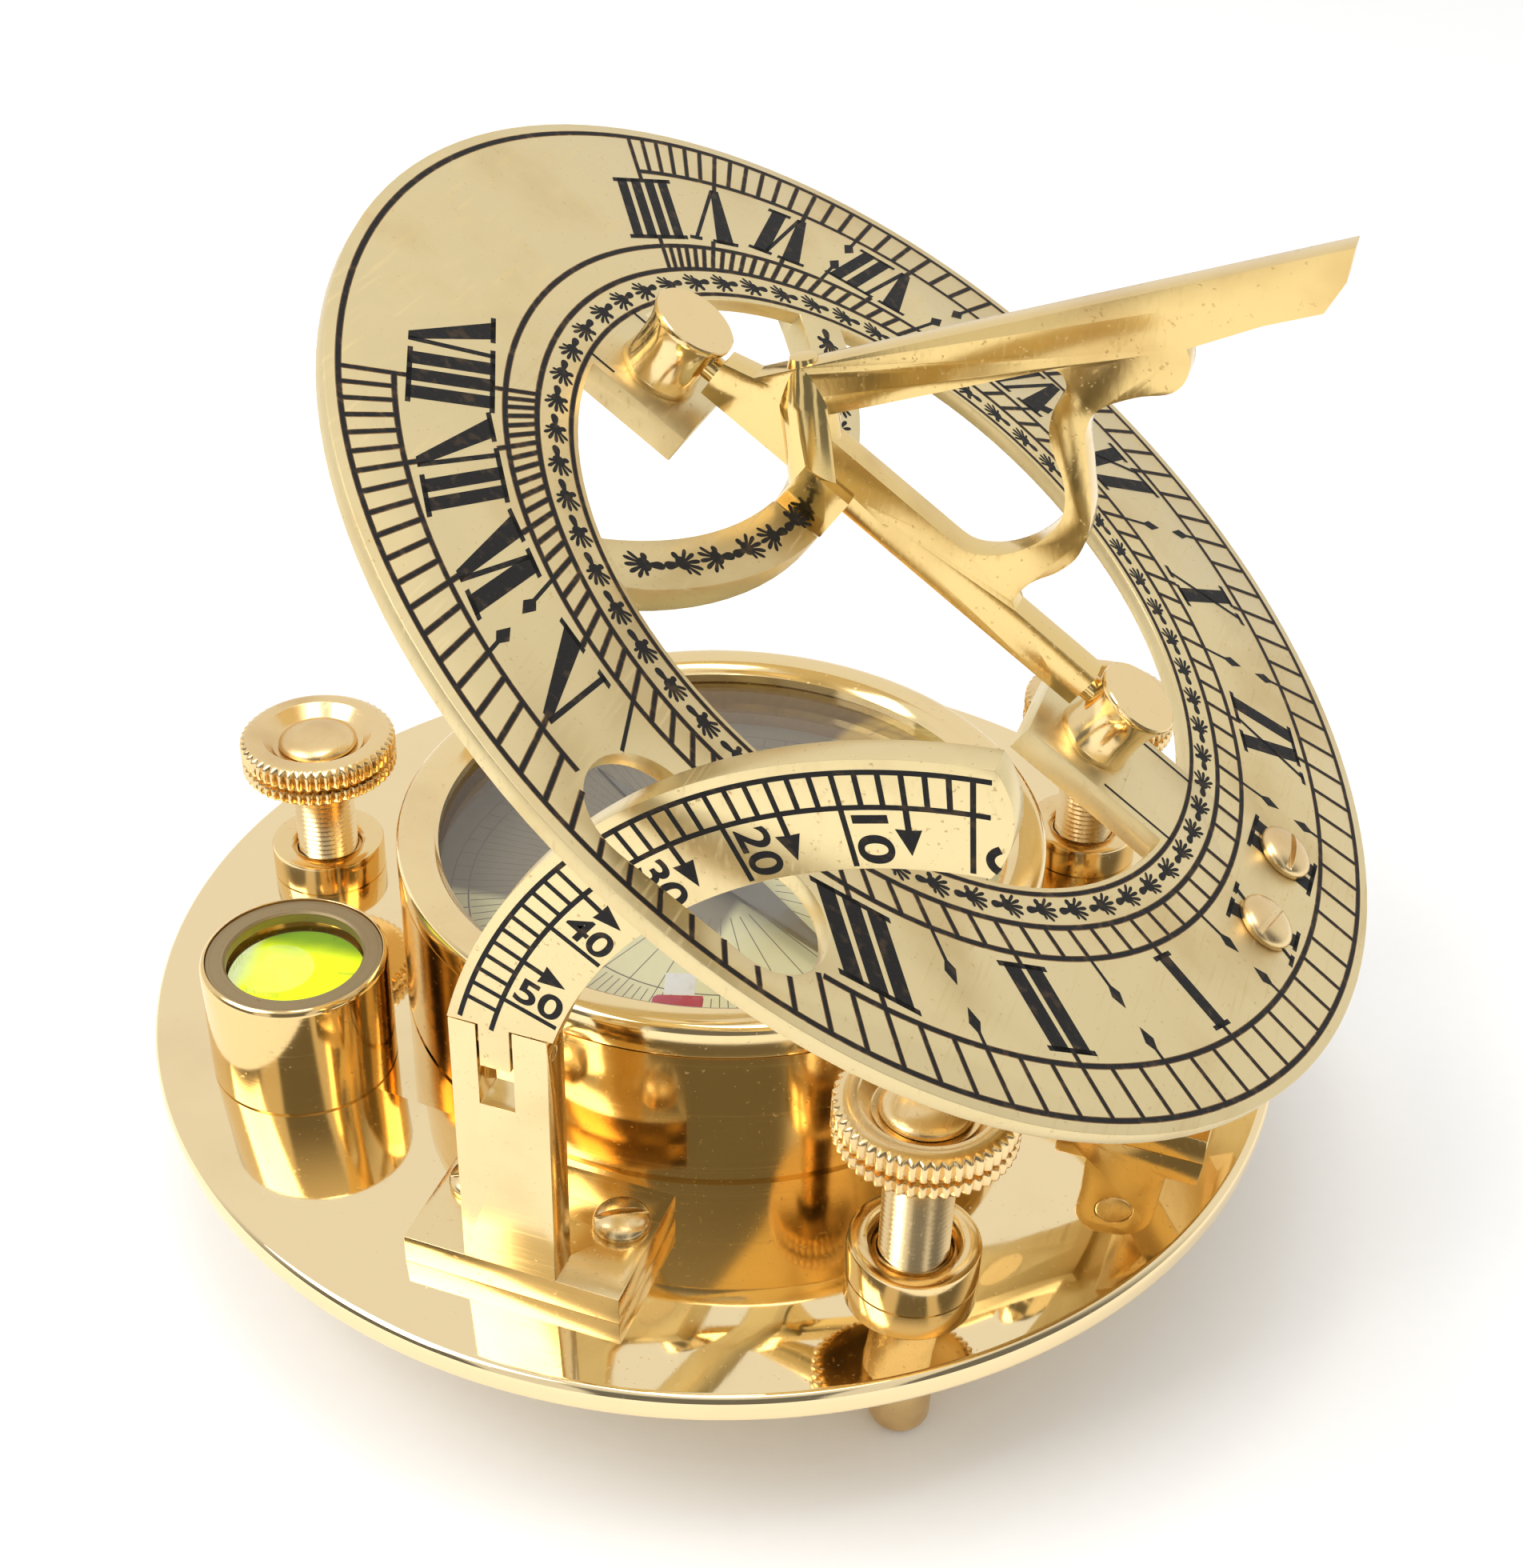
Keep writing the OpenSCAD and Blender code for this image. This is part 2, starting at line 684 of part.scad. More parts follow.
// The hinge block: a foot on the plate with two round-topped cheeks.
module hinge_block() {
    color("goldenrod") difference() {
        union() {
            translate([hinge_x - block_d / 2, -block_w / 2, plate_z])
                cube([block_d, block_w, block_foot_t]);
            for (side = [-1, 1]) translate([hinge_x, side * cheek_mid, 0]) {
                translate([-knuckle_r, -cheek_t / 2, plate_z + block_foot_t / 2])
                    cube([2 * knuckle_r, cheek_t, hinge_h - block_foot_t / 2]);
                translate([0, cheek_t / 2, hinge_z]) rotate([90, 0, 0])
                    cylinder(h = cheek_t, r = knuckle_r);
            }
        }
        translate([hinge_x, block_w / 2 + cut, hinge_z]) rotate([90, 0, 0])
            cylinder(h = block_w + 2 * cut, r = hinge_pin_r);
        for (side = [-1, 1]) translate([hinge_x, side * cheek_mid, plate_z - cut])
            cylinder(h = block_screw_d + cut, r = screw_r);
    }
}

module hinge_block_screws() {
    color("goldenrod") for (side = [-1, 1])
        translate([hinge_x, side * cheek_mid, base_lift]) sunk_screw(base_t + block_screw_d);
}

// The leaf: a plate under the ring with a web down to the barrel on the pin.
module hinge_leaf() {
    color("goldenrod") on_ring() difference() {
        union() {
            translate([ring_screw_u - leaf_d / 2, -leaf_w / 2, leaf_low])
                cube([leaf_d, leaf_w, leaf_t]);
            translate([ring_reach - web_t / 2, -barrel_w / 2, -ring_stand])
                cube([web_t, barrel_w, ring_stand + leaf_low + leaf_t / 2]);
            translate([ring_reach, barrel_w / 2, -ring_stand]) rotate([90, 0, 0])
                cylinder(h = barrel_w, r = knuckle_r);
        }
        translate([ring_reach, barrel_w / 2 + cut, -ring_stand]) rotate([90, 0, 0])
            cylinder(h = barrel_w + 2 * cut, r = hinge_pin_r + run_gap);
        at_ring_screws() translate([0, 0, leaf_top - leaf_t - cut])
            cylinder(h = leaf_t + 2 * cut, r = screw_r);
    }
}

module hinge_pin() {
    color("gold") translate([hinge_x, block_w / 2, hinge_z]) rotate([90, 0, 0])
        cylinder(h = block_w, r = hinge_pin_r);
}

// Repeats children at the two ring screws, on the ring's face.
module at_ring_screws() {
    for (side = [-1, 1])
        translate([ring_screw_u, side * ring_screw_v, 0]) children();
}

// The plan of the slot that the latitude arc passes through.
module slot_plan() {
    half = (slot_len - slot_w) / 2;
    translate([slot_u, -slot_v]) {
        translate([-half, -slot_w / 2]) square([2 * half, slot_w]);
        for (end = [-half, half]) translate([end, 0]) circle(slot_w / 2);
    }
}

// The bow's band, a curved bar from side to side of the opening.
module bow_plan() {
    intersection() {
        translate([bow_centre_u, 0]) difference() {
            circle(bow_r + bow_w / 2);
            circle(bow_r - bow_w / 2);
        }
        circle(opening_r + tab_over);
    }
}

// A tab's plan between two places along noon.
module tab_plan(from, to) {
    intersection() {
        translate([from, -tab_half]) square([to - from, 2 * tab_half]);
        circle(opening_r + tab_over);
    }
}

// Repeats children at the two studs, on the tabs' upper faces.
module stud_places() {
    for (place = [noon_stud_u, midnight_stud_u])
        translate([place, 0, 0]) children();
}

// Places a cylinder's axis on the gnomon's fold axis, pointing to noon.
module on_fold_axis(start) {
    translate([start, 0, fold_w]) rotate([0, 90, 0]) children();
}

// The hour ring with its tabs, its bow and the slot for the arc.
module hour_ring() {
    color("gold") on_ring() difference() {
        union() {
            translate([0, 0, -ring_t]) linear_extrude(ring_t) difference() {
                circle(ring_r);
                circle(opening_r);
                slot_plan();
            }
            translate([0, 0, -tab_t]) linear_extrude(tab_t) {
                tab_plan(-ring_r, midnight_tab_u);
                tab_plan(noon_tab_u, ring_r);
            }
            translate([0, 0, -bow_t]) linear_extrude(bow_t) bow_plan();
        }
        at_ring_screws() translate([0, 0, -ring_t - cut])
            cylinder(h = ring_t + 2 * cut, r = screw_r);
        stud_places() stud_pin(cut);
        on_fold_axis(bow_apex_u - bow_w) cylinder(h = 2 * bow_w, r = cradle_r);
    }
}

module ring_screws() {
    color("gold") on_ring() {
        translate([ring_screw_u, -ring_screw_v, 0]) round_screw(ring_t + leaf_t, slot_turns[0]);
        translate([ring_screw_u, ring_screw_v, 0]) round_screw(ring_t + leaf_t, slot_turns[1]);
    }
}

// A stud's pin through its tab, spread at the tab's underside and longer by over on top.
module stud_pin(over) {
    translate([0, 0, -tab_t]) cylinder(h = tab_t + over, r = stud_pin_r);
    translate([0, 0, -tab_t]) cylinder(h = rivet_h, r1 = rivet_r, r2 = stud_pin_r);
}

// A spool-shaped stud riveted through its tab; side is the way its bore points.
module stud(side) {
    difference() {
        union() {
            stud_pin(stud_foot_t / 2);
            cylinder(h = stud_foot_t, r = stud_foot_r);
            cylinder(h = stud_h - stud_top_t / 2, r = stud_waist_r);
            translate([0, 0, stud_h - stud_top_t]) cylinder(h = stud_top_t, r = stud_top_r);
        }
        translate([side * (trunnion_in - side_gap), 0, fold_w]) rotate([0, side * 90, 0])
            cylinder(h = stud_top_r, r = trunnion_r + run_gap);
    }
}

module noon_stud() {
    color("gold") on_ring() translate([noon_stud_u, 0, 0]) stud(-1);
}

module midnight_stud() {
    color("gold") on_ring() translate([midnight_stud_u, 0, 0]) stud(1);
}

// Points of a smooth curve through all but the first and last of the given points.
function smooth(pts, steps) = [
    for (i = [1 : len(pts) - 3], k = [0 : steps - 1])
        let (t = k / steps, a = pts[i - 1], b = pts[i], c = pts[i + 1], d = pts[i + 2])
            0.5 * (2 * b + (c - a) * t + (2 * a - 5 * b + 4 * c - d) * t * t
                + (3 * b - a - 3 * c + d) * t * t * t)
];

// A point on a line through the style's foot: along the style, and in from its upper edge.
function on_style(along, inward) = [
    style_foot_u + along * cos(style_angle) + inward * sin(style_angle),
    style_foot_w + along * sin(style_angle) - inward * cos(style_angle)
];

// The outer edge of the scrolled support, from the bar up to the style.
support_edge = smooth([
    [10, 4], [8.6, 6.2], [8.6, 8.8], [9.6, 11.4], [9.8, 14], [8.4, 17.2], [5.2, 20.6],
    [3, 22.9], [2.4, 25.2], [3.9, 28.2], [5.8, 30.6], [5.6, 32.8], [3.6, 34.2], [0, 32]
], 5);

// The inner edge of the scrolled support, from the style down to the bar.
support_inside = smooth([
    [-4, 24], [-2.2, 25.5], [-0.7, 24.8], [-0.3, 22.6], [1.2, 20.3], [4.6, 18.1], [6.5, 15.6],
    [6.6, 12.6], [5.3, 9.4], [3, 7.2], [0.4, bar_upper], [-4, bar_upper]
], 5);

// The gnomon's side view: bar, heel, style and scrolled support round an opening.
module gnomon_plan() {
    difference() {
        polygon(concat(
            [[bar_ends[0], bar_low], [heel_ends[0] + heel_inset, bar_low],
             [heel_ends[0] + heel_inset, bar_low - bar_dip],
             [heel_ends[1] - heel_inset, bar_low - bar_dip],
             [heel_ends[1] - heel_inset, bar_low],
             [bar_ends[1], bar_low], [bar_ends[1], bar_low + bar_h], [9.4, bar_low + bar_h]],
            support_edge,
            [on_style(43.4, style_d), on_style(48.2, style_d), on_style(50.4, style_d * 0.55),
             on_style(style_len, 0), on_style(0, 0), [bar_ends[0], bar_low + bar_h]]
        ));
        polygon(concat(
            [on_style(6, style_d), on_style(26, style_d)],
            support_inside,
            [[-12.6, bar_upper], [-15.6, bar_upper]]
        ));
    }
}

// The gnomon in the ring's frame, with its trunnions, its heel and its rounded column.
module gnomon() {
    color("gold") on_ring() {
        translate([0, gnomon_t / 2, 0]) rotate([90, 0, 0]) linear_extrude(gnomon_t) gnomon_plan();
        gnomon_heel();
        gnomon_column();
        on_fold_axis(midnight_stud_u + trunnion_in)
            cylinder(h = bar_ends[0] - midnight_stud_u - trunnion_in + cut, r = trunnion_r);
        on_fold_axis(bar_ends[1] - cut)
            cylinder(h = noon_stud_u - trunnion_in - bar_ends[1] + cut, r = trunnion_r);
    }
}

// The heel: the lower part of a round bar about the fold axis, cut flat on both sides.
module gnomon_heel() {
    half = column_r + heel_margin;
    intersection() {
        on_fold_axis(heel_ends[0]) cylinder(h = heel_ends[1] - heel_ends[0], r = heel_r);
        translate([heel_ends[0] - cut, -half, fold_w - heel_r - cut])
            cube([heel_ends[1] - heel_ends[0] + 2 * cut, 2 * half, heel_r + cut]);
    }
}

// The column: a leaning round bar from the heel, which tapers into the style.
module gnomon_column() {
    run = column_top - column_foot;
    translate([column_foot[0], 0, column_foot[1]]) rotate([0, atan2(run[0], run[1]), 0])
        rotate_extrude() polygon([
            [0, 0], [column_r, 0], [column_r, norm(run)],
            [gnomon_t / 2 - heel_margin, norm(run) + column_taper], [0, norm(run) + column_taper]
        ]);
}

// The arc's side view about its centre: level above the post, rounded at the other end.
module arc_plan() {
    low = post_top + side_gap / 2 - arc_centre_z;
    reach = arc_out_r + cut;
    half_w = (arc_out_r - arc_in_r) / 2;
    end_r = (half_w * half_w + arc_end_bulge * arc_end_bulge) / (2 * arc_end_bulge);
    straight = arc_end - end_lap;
    intersection() {
        difference() {
            circle(arc_out_r, $fn = 180);
            circle(arc_in_r, $fn = 180);
        }
        union() {
            polygon([
                [-reach, low], [-low / tan(straight), low],
                [-reach * cos(straight), reach * sin(straight)], [-reach, reach]
            ]);
            rotate(-arc_end) translate([-arc_in_r - half_w, arc_end_bulge - end_r])
                circle(end_r);
        }
    }
}

// The latitude arc with the tang that hinges between the bracket's prongs.
module latitude_arc() {
    color("gold") difference() {
        union() {
            translate([arc_centre_x, arc_back_y, arc_centre_z]) rotate([90, 0, 0])
                linear_extrude(arc_t) arc_plan();
            translate([tang_x, -arc_face_y, tang_low]) cube([tang_w, arc_t, tang_len + cut]);
        }
        arc_pin_line() cylinder(h = post_w + 2 * cut, r = arc_pin_r + run_gap);
    }
}

// Places children along the axis of the arc's pin, from one cut outside the post.
module arc_pin_line() {
    translate([post_x - cut, arc_mid_y, arc_pin_z]) rotate([0, 90, 0]) children();
}

// Repeats children at the two bracket screws.
module bracket_screw_places() {
    for (place = [foot_x + foot_screw_in, foot_x + foot_len - foot_screw_in])
        translate([place, foot_screw_y - arc_face_y, 0]) children();
}

// The bracket: a foot on the plate and a post with two prongs for the arc's tang.
module arc_bracket() {
    color("goldenrod") difference() {
        union() {
            translate([foot_x, -arc_face_y, plate_z]) cube([foot_len, foot_d, foot_t]);
            translate([post_x, -arc_face_y, plate_z]) cube([post_w, post_t, post_h]);
        }
        translate([post_x + notch_in, -arc_face_y - cut, post_top - notch_d])
            cube([notch_w, post_t + 2 * cut, notch_d + cut]);
        arc_pin_line() cylinder(h = post_w + 2 * cut, r = arc_pin_r);
        bracket_screw_places() translate([0, 0, plate_z - cut])
            cylinder(h = foot_t + 2 * cut, r = screw_r);
    }
}

module bracket_screws() {
    color("gold") bracket_screw_places() translate([0, 0, plate_z + foot_t])
        round_screw(foot_t + base_t, slot_turns[2]);
}

module arc_pin() {
    color("goldenrod") translate([cut, 0, 0]) arc_pin_line() cylinder(h = post_w, r = arc_pin_r);
}

base_plate();
foot_bushes();
foot_shank_front();
foot_shank_back();
foot_shank_left();
foot_head_front();
foot_head_back();
foot_head_left();
level_cup();
level_ring();
level_glass();
level_fluid();
level_bubble();
level_screw();
compass_case();
compass_bezel();
compass_glass();
compass_card();
pivot_pin();
compass_needle();
needle_cap();
compass_screws();
hinge_block();
hinge_block_screws();
hinge_leaf();
hinge_pin();
hour_ring();
ring_screws();
noon_stud();
midnight_stud();
gnomon();
latitude_arc();
arc_bracket();
bracket_screws();
arc_pin();
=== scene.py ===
"""Dresses the sundial compass: turned brass, engraved scales, glass, liquid and light.

Sizes are in millimetres in the sundial's own frame: +X is noon, +Z is up, and
z = 0 is the table. Meshes are in metres, as the frame is.
"""
import json
import logging
import math
from dataclasses import dataclass
from enum import Enum
from typing import Callable

import bpy
from mathutils import Matrix, Vector


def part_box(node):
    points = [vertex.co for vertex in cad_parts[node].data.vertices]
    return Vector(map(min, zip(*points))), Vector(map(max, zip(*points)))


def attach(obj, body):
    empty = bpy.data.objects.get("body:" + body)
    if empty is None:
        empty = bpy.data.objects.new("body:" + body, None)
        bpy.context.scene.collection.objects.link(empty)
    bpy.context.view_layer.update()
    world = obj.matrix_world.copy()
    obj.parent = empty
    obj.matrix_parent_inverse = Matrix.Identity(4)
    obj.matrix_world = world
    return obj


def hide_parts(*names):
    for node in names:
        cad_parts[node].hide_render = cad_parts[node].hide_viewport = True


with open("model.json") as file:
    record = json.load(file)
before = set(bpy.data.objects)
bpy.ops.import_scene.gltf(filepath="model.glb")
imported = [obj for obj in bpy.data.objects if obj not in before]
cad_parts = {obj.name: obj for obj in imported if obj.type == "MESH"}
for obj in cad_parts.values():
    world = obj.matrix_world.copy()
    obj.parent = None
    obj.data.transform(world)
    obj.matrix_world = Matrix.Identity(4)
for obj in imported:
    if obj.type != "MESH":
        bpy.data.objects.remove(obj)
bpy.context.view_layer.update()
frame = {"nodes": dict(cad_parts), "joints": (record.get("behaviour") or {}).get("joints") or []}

MM = 0.001
LOG = logging.getLogger("sundial")
HERE = Matrix.Identity(4)
FEET = ("front", "back", "left")
SMOOTH_ANGLE = 38.0
SCREW_R = 1.3
CASE_SCREWS_R = 17.8
INLAY_HALF = 0.04
# How far a layer of filling or print stands over its face; layers that cross differ in height.
STAIN_UP, RING_UP, LINE_UP, SPRIG_UP, MARK_UP, STEM_UP = 0.006, 0.012, 0.014, 0.016, 0.018, 0.020
Point = tuple[float, float]
Spot = tuple[float, float, float]
Colour = tuple[float, float, float]
Outline = list[Point]


class Val:
    """A shader value: arithmetic on it adds the Math nodes."""

    def __init__(self, tree: bpy.types.NodeTree, socket: bpy.types.NodeSocket) -> None:
        """Wraps one output socket of a node tree."""
        self.tree, self.socket = tree, socket

    def math(self, operation: str, *inputs: "Val | float") -> "Val":
        """Adds one Math node.

        Args:
            operation: the node's operation.
            inputs: its inputs in order, each a value or a number.
        Returns:
            The result.
        """
        node = self.tree.nodes.new("ShaderNodeMath")
        node.operation = operation
        for place, value in enumerate(inputs):
            if isinstance(value, Val):
                self.tree.links.new(value.socket, node.inputs[place])
            else:
                node.inputs[place].default_value = value
        return Val(self.tree, node.outputs[0])

    def __add__(self, other: "Val | float") -> "Val":
        """self + other."""
        return self.math("ADD", self, other)

    def __radd__(self, other: float) -> "Val":
        """other + self."""
        return self.math("ADD", other, self)

    def __sub__(self, other: "Val | float") -> "Val":
        """self - other."""
        return self.math("SUBTRACT", self, other)

    def __rsub__(self, other: float) -> "Val":
        """other - self."""
        return self.math("SUBTRACT", other, self)

    def __mul__(self, other: "Val | float") -> "Val":
        """self * other."""
        return self.math("MULTIPLY", self, other)

    def __rmul__(self, other: float) -> "Val":
        """other * self."""
        return self.math("MULTIPLY", other, self)

    def __pow__(self, other: "Val | float") -> "Val":
        """self to the power of other."""
        return self.math("POWER", self, other)

    def smooth(self, low: float, high: float) -> "Val":
        """A soft step.

        Args:
            low: where it is still 0.
            high: where it reaches 1.
        Returns:
            The step's value.
        """
        node = self.tree.nodes.new("ShaderNodeMapRange")
        node.interpolation_type = "SMOOTHSTEP"
        self.tree.links.new(self.socket, node.inputs["Value"])
        node.inputs["From Min"].default_value = low
        node.inputs["From Max"].default_value = high
        return Val(self.tree, node.outputs["Result"])


class Paint:
    """A node tree being filled, with one method that adds any node."""

    def __init__(self, tree: bpy.types.NodeTree) -> None:
        """Starts on an emptied node tree."""
        self.tree = tree
        tree.nodes.clear()

    def add(self, kind: str, sockets: dict | None = None, **settings: object) -> bpy.types.Node:
        """Adds a node.

        Args:
            kind: the node's type without its ShaderNode prefix.
            sockets: values or links of its input sockets, by name or number.
            settings: its properties, which are set before its sockets.
        Returns:
            The node.
        """
        node = self.tree.nodes.new(f"ShaderNode{kind}")
        for name, value in settings.items():
            setattr(node, name, value)
        for name, value in (sockets or {}).items():
            self.feed(node.inputs[name], value)
        return node

    def value(self, output: str | int, kind: str, sockets: dict | None = None) -> Val:
        """Adds a node and returns one of its outputs as a value."""
        return Val(self.tree, self.add(kind, sockets).outputs[output])

    def feed(self, socket: bpy.types.NodeSocket, value: object) -> None:
        """Links or sets one input socket.

        Args:
            socket: the input socket.
            value: a value, a socket, a colour or a number.
        """
        if isinstance(value, Val):
            self.tree.links.new(value.socket, socket)
        elif isinstance(value, bpy.types.NodeSocket):
            self.tree.links.new(value, socket)
        elif isinstance(value, tuple) and len(value) == 3 and socket.type == "RGBA":
            socket.default_value = (*value, 1.0)
        else:
            socket.default_value = value

    def where(self) -> bpy.types.NodeSocket:
        """The surface's own Object coordinates."""
        return self.add("TexCoord").outputs["Object"]

    def noise(self, scale: float, detail: float = 3.0, stretch: Spot | None = None, turn: float = 0.0) -> Val:
        """Noise on Object coordinates.

        Args:
            scale: how many lumps fit in a metre.
            detail: octaves.
            stretch: how much each axis is squeezed, for hairlines.
            turn: turn about the vertical before squeezing, in degrees.
        Returns:
            A value about 0.5.
        """
        place = self.where()
        if stretch is not None:
            place = self.add("Mapping", {"Vector": place, "Scale": stretch,
                                         "Rotation": (0.0, 0.0, math.radians(turn))}).outputs["Vector"]
        return self.value(0, "TexNoise", {"Vector": place, "Scale": scale, "Detail": detail})

    def blend(self, first: object, second: object, factor: object) -> bpy.types.NodeSocket:
        """A colour between two colours."""
        return self.add("Mix", {0: factor, 6: first, 7: second}, data_type="RGBA").outputs[2]

    def bump(self, height: Val, strength: float, depth: float) -> bpy.types.NodeSocket:
        """A bumped normal, with its depth in millimetres."""
        sockets = {"Strength": strength, "Distance": depth * MM, "Height": height}
        return self.add("Bump", sockets).outputs[0]

    def axis(self, which: int, centre: float = 0.0) -> Val:
        """One Object coordinate in millimetres, from a centre in millimetres."""
        return self.value(which, "SeparateXYZ", {0: self.where()}) * (1 / MM) - centre


@dataclass(frozen=True)
class Finish:
    """A surface finish, which each kind of surface mixes in its own way."""

    name: str

    def material(self) -> bpy.types.Material:
        """Builds the material.

        Returns:
            The material.
        """
        material = bpy.data.materials.new(self.name)
        material.use_nodes = True
        paint = Paint(material.node_tree)
        paint.add("OutputMaterial", {"Surface": self.shader(paint).outputs[0]})
        return material

    def shader(self, paint: Paint) -> bpy.types.Node:
        """Mixes the surface's shader."""
        raise NotImplementedError


class Lay(Enum):
    """Which way the fine lines of a metal surface run."""

    TURNED = "rings about a vertical axis"
    DRAWN = "hairlines along noon"
    BUFFED = "no direction"


@dataclass(frozen=True)
class Brass(Finish):
    """A brass finish: its colour, stains, hairlines and small pits."""

    colour: Colour = (0.87, 0.66, 0.33)
    stain: Colour = (0.50, 0.29, 0.10)
    stained: float = 0.35
    roughness: float = 0.10
    lay: Lay = Lay.BUFFED
    centre: Point = (0.0, 0.0)
    pits: float = 0.15
    relief: float = 0.10

    def shader(self, paint: Paint) -> bpy.types.Node:
        """Mixes bright metal, brown stains and dark pits."""
        cloud = paint.noise(70.0, 4.0)
        fine = paint.noise(650.0, 3.0)
        speck = paint.noise(1900.0, 2.0).smooth(0.66, 0.74)
        lines = self.lines(paint)
        stain = cloud.smooth(0.50, 0.78) * self.stained + speck * self.pits
        colour = paint.blend(self.colour, self.stain, stain)
        rough = self.roughness + cloud.smooth(0.35, 0.75) * (self.roughness * 0.5) \
            + lines.smooth(0.55, 0.75) * (self.roughness * 0.6) + speck * 0.2
        height = fine * 0.35 + lines * 0.65 - speck * 0.5
        return paint.add("BsdfPrincipled", {"Base Color": colour, "Metallic": 1.0, "Roughness": rough,
                                            "Normal": paint.bump(height, self.relief, 0.02)})

    def lines(self, paint: Paint) -> Val:
        """The fine lines that the finish's last tool left.

        Args:
            paint: the node tree.
        Returns:
            A value about 0.5.
        """
        if self.lay is Lay.TURNED:
            across, along = paint.axis(0, self.centre[0]), paint.axis(1, self.centre[1])
            radius = (across * across + along * along) ** 0.5
            place = paint.add("CombineXYZ", {0: radius, 1: paint.axis(2), 2: 0.0}).outputs[0]
            return paint.value(0, "TexNoise", {"Vector": place, "Scale": 5.0, "Detail": 2.0})
        if self.lay is Lay.DRAWN:
            return paint.noise(1.0, 2.0, (60.0, 3500.0, 3500.0), 12.0)
        return paint.noise(1.0, 2.0, (2600.0, 140.0, 900.0), 38.0)


@dataclass(frozen=True)
class Ink(Finish):
    """The black filling of an engraved line, browner where it has worn."""

    colour: Colour = (0.012, 0.011, 0.010)
    worn: Colour = (0.075, 0.045, 0.022)
    share: float = 0.6

    def shader(self, paint: Paint) -> bpy.types.Node:
        """Mixes a dull, crumbly filling."""
        worn = paint.noise(900.0, 4.0).smooth(0.52, 0.72) * self.share
        crumb = paint.noise(4200.0, 2.0)
        return paint.add("BsdfPrincipled", {
            "Base Color": paint.blend(self.colour, self.worn, worn), "Roughness": 0.42 + crumb * 0.35,
            "Normal": paint.bump(crumb, 0.5, 0.06), "Specular IOR Level": 0.18})


@dataclass(frozen=True)
class ClearGlass(Finish):
    """A flat clear glass that shows what lies under it and mirrors what stands over it."""

    tint: Colour = (0.97, 0.98, 0.96)
    gloss: float = 0.02
    mirror: float = 0.05

    def shader(self, paint: Paint) -> bpy.types.Node:
        """Mixes a clear pane with a mirror that grows towards a flat view."""
        smear = paint.noise(90.0, 4.0).smooth(0.45, 0.8)
        through = paint.add("BsdfTransparent", {"Color": self.tint})
        mirror = paint.add("BsdfPrincipled", {
            "Base Color": (1.0, 1.0, 1.0), "Metallic": 1.0, "Roughness": self.gloss + smear * 0.05})
        facing = paint.value("Facing", "LayerWeight", {"Blend": 0.5})
        seen = 1.0 - paint.value("Is Shadow Ray", "LightPath")
        factor = (facing ** 5.0 * 0.9 + self.mirror) * seen
        return paint.add("MixShader", {0: factor, 1: through.outputs[0], 2: mirror.outputs[0]})


@dataclass(frozen=True)
class LevelLiquid(Finish):
    """The bright yellow-green spirit, darker at the back where the wall shades it."""

    bright: Colour = (0.74, 0.80, 0.0)
    # The colour of the painted shade that the cup's wall casts over the back of the spirit.
    deep: Colour = (0.16, 0.27, 0.01)
    pale: Colour = (0.66, 0.72, 0.46)
    centre: Point = (0.0, 0.0)
    radius: float = 6.5

    def shader(self, paint: Paint) -> bpy.types.Node:
        """Mixes a liquid with a painted glow, a painted shade at its back and a painted pale glare at its
        left.
        """
        toward_back = paint.axis(1, self.centre[1]) * 0.96 - paint.axis(0, self.centre[0]) * 0.15
        toward_left = paint.axis(0, self.centre[0]) * -0.93 - paint.axis(1, self.centre[1]) * 0.2
        # Painted glare: a pale crescent at the spirit's left.
        glare = toward_left.smooth(self.radius * 0.62, self.radius * 0.86)
        shadow = (toward_back + paint.noise(260.0, 2.0) * 1.2).smooth(self.radius * 0.45, self.radius * 0.9)
        colour = paint.blend(paint.blend(self.bright, self.deep, shadow), self.pale, glare)
        # Painted glow: the spirit emits its own colour as if lit from within, though it is no lamp.
        return paint.add("BsdfPrincipled", {
            "Base Color": colour, "Roughness": 0.08, "Specular IOR Level": 0.1,
            "Emission Color": colour, "Emission Strength": 0.55})


@dataclass(frozen=True)
class AirBubble(Finish):
    """The bubble: a pale skin, bright at its rim."""

    colour: Colour = (0.86, 0.93, 0.55)

    def shader(self, paint: Paint) -> bpy.types.Node:
        """Mixes a skin that is clear but at its rim."""
        rim = paint.value("Facing", "LayerWeight", {"Blend": 0.45})
        haze = paint.noise(500.0, 2.0) * 0.2
        return paint.add("BsdfPrincipled", {
            "Base Color": self.colour, "Roughness": 0.06, "Alpha": rim * 0.4 + haze + 0.02})


@dataclass(frozen=True)
class CardStock(Finish):
    """The compass card: cream stock with fibres and age, with a painted brown shadow of the ring at its left
    and back.
    """

    colour: Colour = (0.72, 0.66, 0.42)
    aged: Colour = (0.50, 0.40, 0.24)
    # The colour of the painted shadow that the ring casts over the card.
    browned: Colour = (0.16, 0.12, 0.09)

    def shader(self, paint: Paint) -> bpy.types.Node:
        """Mixes the cream card and the painted shadow of the ring at its left and back."""
        age = paint.noise(60.0, 5.0).smooth(0.48, 0.8) * 0.6
        fibre = paint.noise(3000.0, 3.0)
        x, y = paint.axis(0) + age * 0.8, paint.axis(1)
        # Painted shadow: a darker patch where the ring overhangs the card, at its left and back.
        brown = (1.0 - x.smooth(2.0, 3.4)) * (y - x * 0.1).smooth(-9.0, -7.4) * 0.9
        cream = paint.blend(self.colour, self.aged, age + fibre * 0.15)
        return paint.add("BsdfPrincipled", {
            "Base Color": paint.blend(cream, self.browned, brown),
            "Roughness": 0.7 + fibre * 0.1, "Normal": paint.bump(fibre, 0.2, 0.03)})


